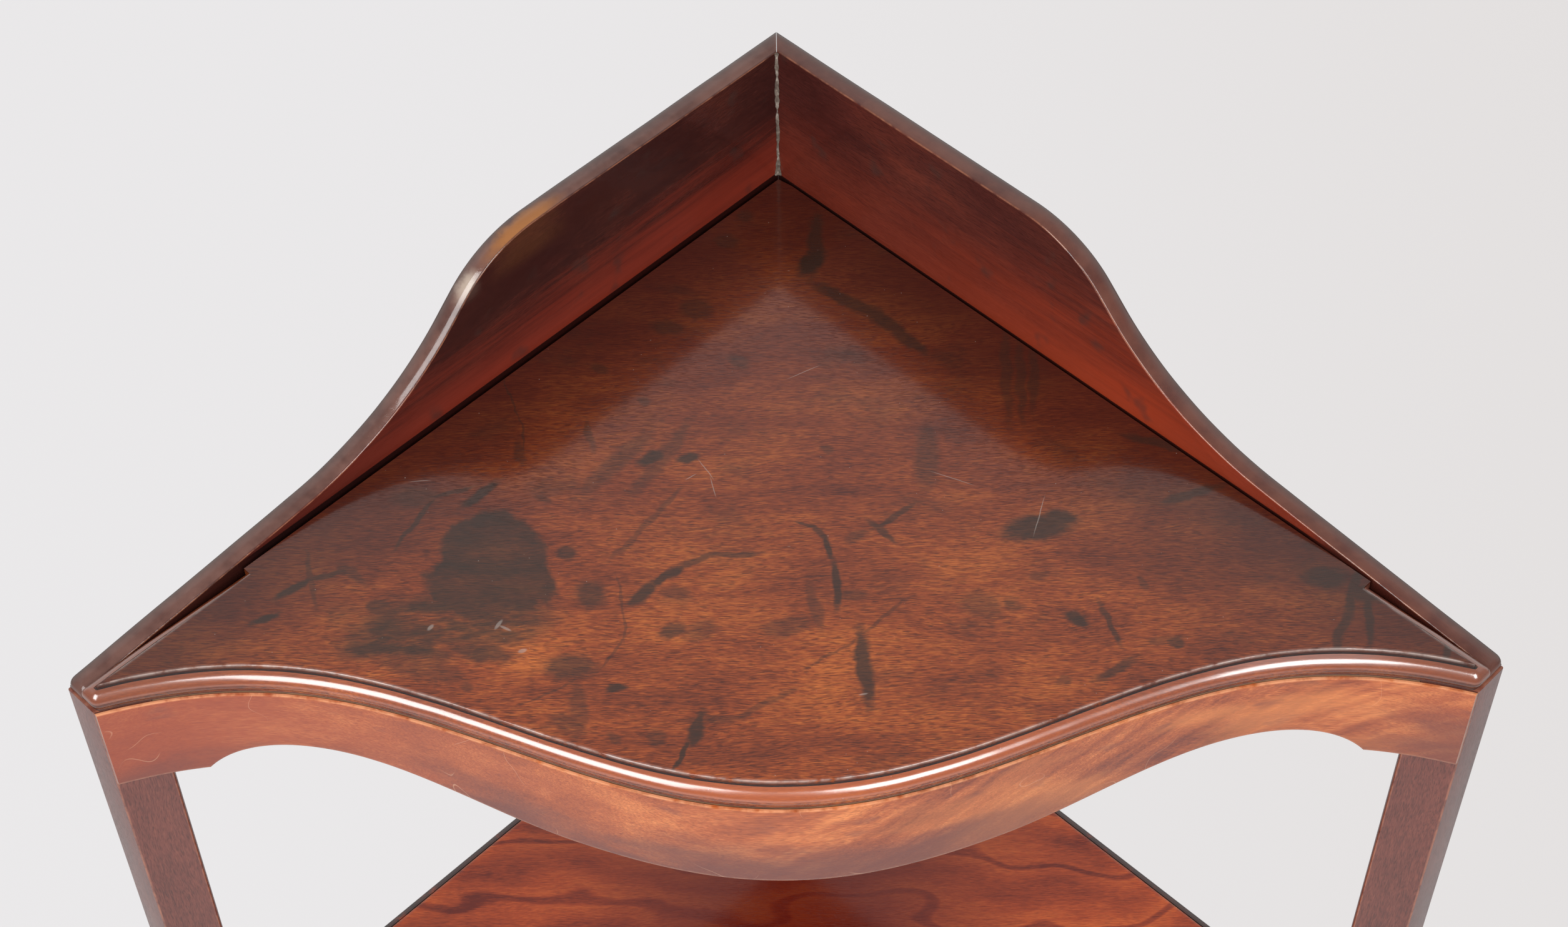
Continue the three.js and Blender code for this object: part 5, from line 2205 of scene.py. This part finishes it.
@dataclass(frozen=True)
class Undertier:
    """The undertier: a platform hollowed on three sides, with an arm to each leg."""

    thickness: float = 12.0
    top: float = 162.0
    arm_width: float = 22.0
    arm_reach: float = 1.5
    back_gap: float = 6.0
    side_hollow: float = 56.0
    middle_depth: float = 250.0
    arris: float = 1.4

    def outline(self) -> list[Flat]:
        """Lay out the platform; its arms end against the legs.

        Returns:
            The outline.
        """
        half, corner = self.arm_width / 2, PLAN.leg_corner
        along = PLAN.along_wall(corner) + self.arm_reach
        inset = (-corner[1] - abs(corner[0])) * DIAGONAL
        back_y = -PLAN.back_leg_width * DIAGONAL - self.back_gap
        wall_side = PLAN.wall_point(1, along, inset - half)
        front_side = PLAN.wall_point(1, along, inset + half)
        middle = (PLAN.back_leg_width + PLAN.along_wall(corner)) / 2
        side_middle = PLAN.wall_point(1, middle, 2 * self.side_hollow)
        front_pull = (0.0, -2 * self.middle_depth - front_side[1])
        front_end = (-front_side[0], front_side[1])
        right = [bend((half, back_y), side_middle, wall_side, share) for share in shares(44)]
        front = [bend(front_side, front_pull, front_end, share) for share in shares(60)]
        left = [(-x, y) for x, y in reversed(right)]
        return right + front + left

    def build(self) -> bpy.types.Object:
        """Make the platform.

        Returns:
            The new object.
        """
        slab = RoundedSlab(tuple(self.outline()), self.top - self.thickness, self.top, self.arris)
        return slab.form().piece(
            "undertier_hollowed", RAIL_WOOD, "mahogany_leg", ["undertier"], sharp=50.0
        )


@dataclass(frozen=True)
class Carcass:
    """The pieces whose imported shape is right: they get a finish and softened arrises."""

    weld: float = 0.02
    arris: float = 0.5
    sharp: float = math.radians(35)

    def build(self) -> None:
        """Dress each piece."""
        across = CarcassWood("carcass_wood_across")
        left = CarcassWood("carcass_wood_left", Grain.LEFT_WALL)
        right = CarcassWood("carcass_wood_right", Grain.RIGHT_WALL)
        deep = CarcassWood("carcass_wood_front_to_back", Grain.FRONT_TO_BACK)
        left_rail = replace(
            RAIL_WOOD, name="left_rail_mahogany", grain=Grain.LEFT_WALL, seed=0.0
        )
        right_rail = replace(left_rail, name="right_rail_mahogany", grain=Grain.RIGHT_WALL)
        finishes = {
            "leg_back": LEG_WOOD,
            "top_rail_left": left, "top_rail_right": right,
            "mid_rail_left": left_rail, "mid_rail_right": right_rail,
            "apron_core": across, "drawer_rail": RAIL_WOOD,
            "glue_block_left": left, "glue_block_right": right, "glue_block_back": across,
            "glue_block_front_left": across, "glue_block_front_right": across,
            "runner_left": deep, "runner_right": deep,
            "drawer_guide_left": deep, "drawer_guide_right": deep,
            "drawer_stop_left": across, "drawer_stop_right": across,
            "drawer_side_left": deep, "drawer_side_right": deep,
            "drawer_back": across, "drawer_bottom": across,
            "knob_nut_left": Brass(), "knob_nut_right": Brass(), "knob_nut_drawer": Brass(),
        }
        for node, finish in finishes.items():
            self.dress(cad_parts[node], finish)

    def dress(self, node: bpy.types.Object, finish: Finish) -> None:
        """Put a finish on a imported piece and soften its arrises.

        Args:
            node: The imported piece.
            finish: Its finish.
        """
        node.data.materials.clear()
        node.data.materials.append(made(finish))
        weld = node.modifiers.new("weld", "WELD")
        weld.merge_threshold = self.weld * MM
        bevel = node.modifiers.new("arris", "BEVEL")
        bevel.width = self.arris * MM
        bevel.segments = 2
        bevel.limit_method = "ANGLE"
        bevel.angle_limit = self.sharp
        log.info("%s: packed shape kept", node.name)


# Studio


@dataclass(frozen=True)
class Lamp:
    """A soft lamp that looks at the top of the stand; its sizes are in metres and watts."""

    name: str
    place: Place
    width: float
    height: float
    power: float
    aim: Place = (0.0, 0.0, 0.8)

    def build(self) -> None:
        """Make the lamp."""
        data = bpy.data.lights.new(self.name, "AREA")
        data.shape = "RECTANGLE"
        data.size, data.size_y = self.width, self.height
        data.energy = self.power
        lamp = bpy.data.objects.new(self.name, data)
        lamp.visible_camera = False
        bpy.context.scene.collection.objects.link(lamp)
        lamp.location = self.place
        ahead = Vector(self.aim) - Vector(self.place)
        lamp.rotation_euler = ahead.to_track_quat("-Z", "Y").to_euler()


@dataclass(frozen=True)
class Studio:
    """A pale floor, soft lamps and the camera at the photograph's viewing angle."""

    image: tuple[int, int] = (2510, 1484)
    focal_pixels: float = 4638.0
    centre: tuple[float, float] = (1255.2, 742.0)
    camera_place: Place = (-0.00044, -0.82729, 1.84103)
    yaw: float = math.radians(0.0737)
    pitch: float = math.radians(50.217)
    roll: float = math.radians(-0.798)
    lamps: tuple[Lamp, ...] = (
        Lamp("key", (-0.90, -1.22, 1.86), 0.98, 1.35, 25.5),
        Lamp("side", (0.60, -1.22, 1.86), 0.66, 1.05, 17.0),
    )
    floor_half: float = 9.0
    floor_rows: int = 12
    sky_colour: Colour = (1.0, 0.985, 0.983)
    fill: float = 0.30
    mirrored: float = 0.88
    backdrop: float = 0.83

    def build(self) -> None:
        """Make the studio."""
        self.floor()
        self.sky()
        for lamp in self.lamps:
            lamp.build()
        self.camera()

    def floor(self) -> None:
        """Make the floor."""
        mesh, rows = bmesh.new(), self.floor_rows
        bmesh.ops.create_grid(mesh, x_segments=rows, y_segments=rows, size=self.floor_half)
        data = bpy.data.meshes.new("floor")
        mesh.to_mesh(data)
        mesh.free()
        data.materials.append(made(Paper()))
        floor = bpy.data.objects.new("floor", data)
        bpy.context.scene.collection.objects.link(floor)

    def sky(self) -> None:
        """Make the surroundings: plain and pale, and brighter behind the stand in reflections."""
        world = bpy.data.worlds.new("studio")
        graph = Graph(world)
        ahead = graph.node("ShaderNodeTexCoord", output="Generated")
        behind = graph.part(ahead, 1).mask(-0.25, 0.35)
        above = graph.part(ahead, 2).mask(0.70, 0.95)
        dim, bright, backdrop = (
            graph.node("ShaderNodeBackground", inputs={"Color": self.sky_colour, "Strength": strength})
            for strength in (self.fill, self.mirrored, self.backdrop)
        )
        hazy = behind * (1.0 - above * 0.86)
        haze = graph.node("ShaderNodeMixShader", inputs={0: hazy, 1: dim, 2: bright})
        mirror_ray = graph.node("ShaderNodeLightPath", output="Is Glossy Ray")
        hidden = graph.node("ShaderNodeMixShader", inputs={0: mirror_ray, 1: dim, 2: haze})
        seen = graph.node("ShaderNodeLightPath", output="Is Camera Ray")
        mixed = graph.node("ShaderNodeMixShader", inputs={0: seen, 1: hidden, 2: backdrop})
        graph.end(mixed, "ShaderNodeOutputWorld")
        bpy.context.scene.world = world

    def camera(self) -> None:
        """Make the camera."""
        data = bpy.data.cameras.new("camera")
        data.sensor_fit = "HORIZONTAL"
        data.sensor_width = 36.0
        data.lens = self.focal_pixels / self.image[0] * data.sensor_width
        data.shift_x = (self.image[0] / 2 - self.centre[0]) / self.image[0]
        data.shift_y = (self.centre[1] - self.image[1] / 2) / self.image[0]
        data.clip_end = 60.0
        camera = bpy.data.objects.new("camera", data)
        bpy.context.scene.collection.objects.link(camera)
        turn = (
            Matrix.Rotation(-self.yaw, 4, "Z")
            @ Matrix.Rotation(math.pi / 2 - self.pitch, 4, "X")
            @ Matrix.Rotation(self.roll, 4, "Z")
        )
        camera.matrix_world = Matrix.Translation(self.camera_place) @ turn
        bpy.context.scene.camera = camera


def main() -> None:
    """Build the stand's sub-assemblies in order and set the studio round them."""
    logging.basicConfig(level=logging.INFO, format="%(name)s: %(message)s")
    bpy.context.scene.view_settings.view_transform = "Standard"
    TopBoard().build()
    Splashboard(-1, crest_drop=1.15).build()
    Splashboard(1).build()
    CornerFiller().build()
    Apron().build()
    FrontLeg(-1).build()
    FrontLeg(1).build()
    MiddleShelf().build()
    Frieze().build()
    Undertier().build()
    Carcass().build()
    Studio().build()


if __name__ == "__main__":
    main()
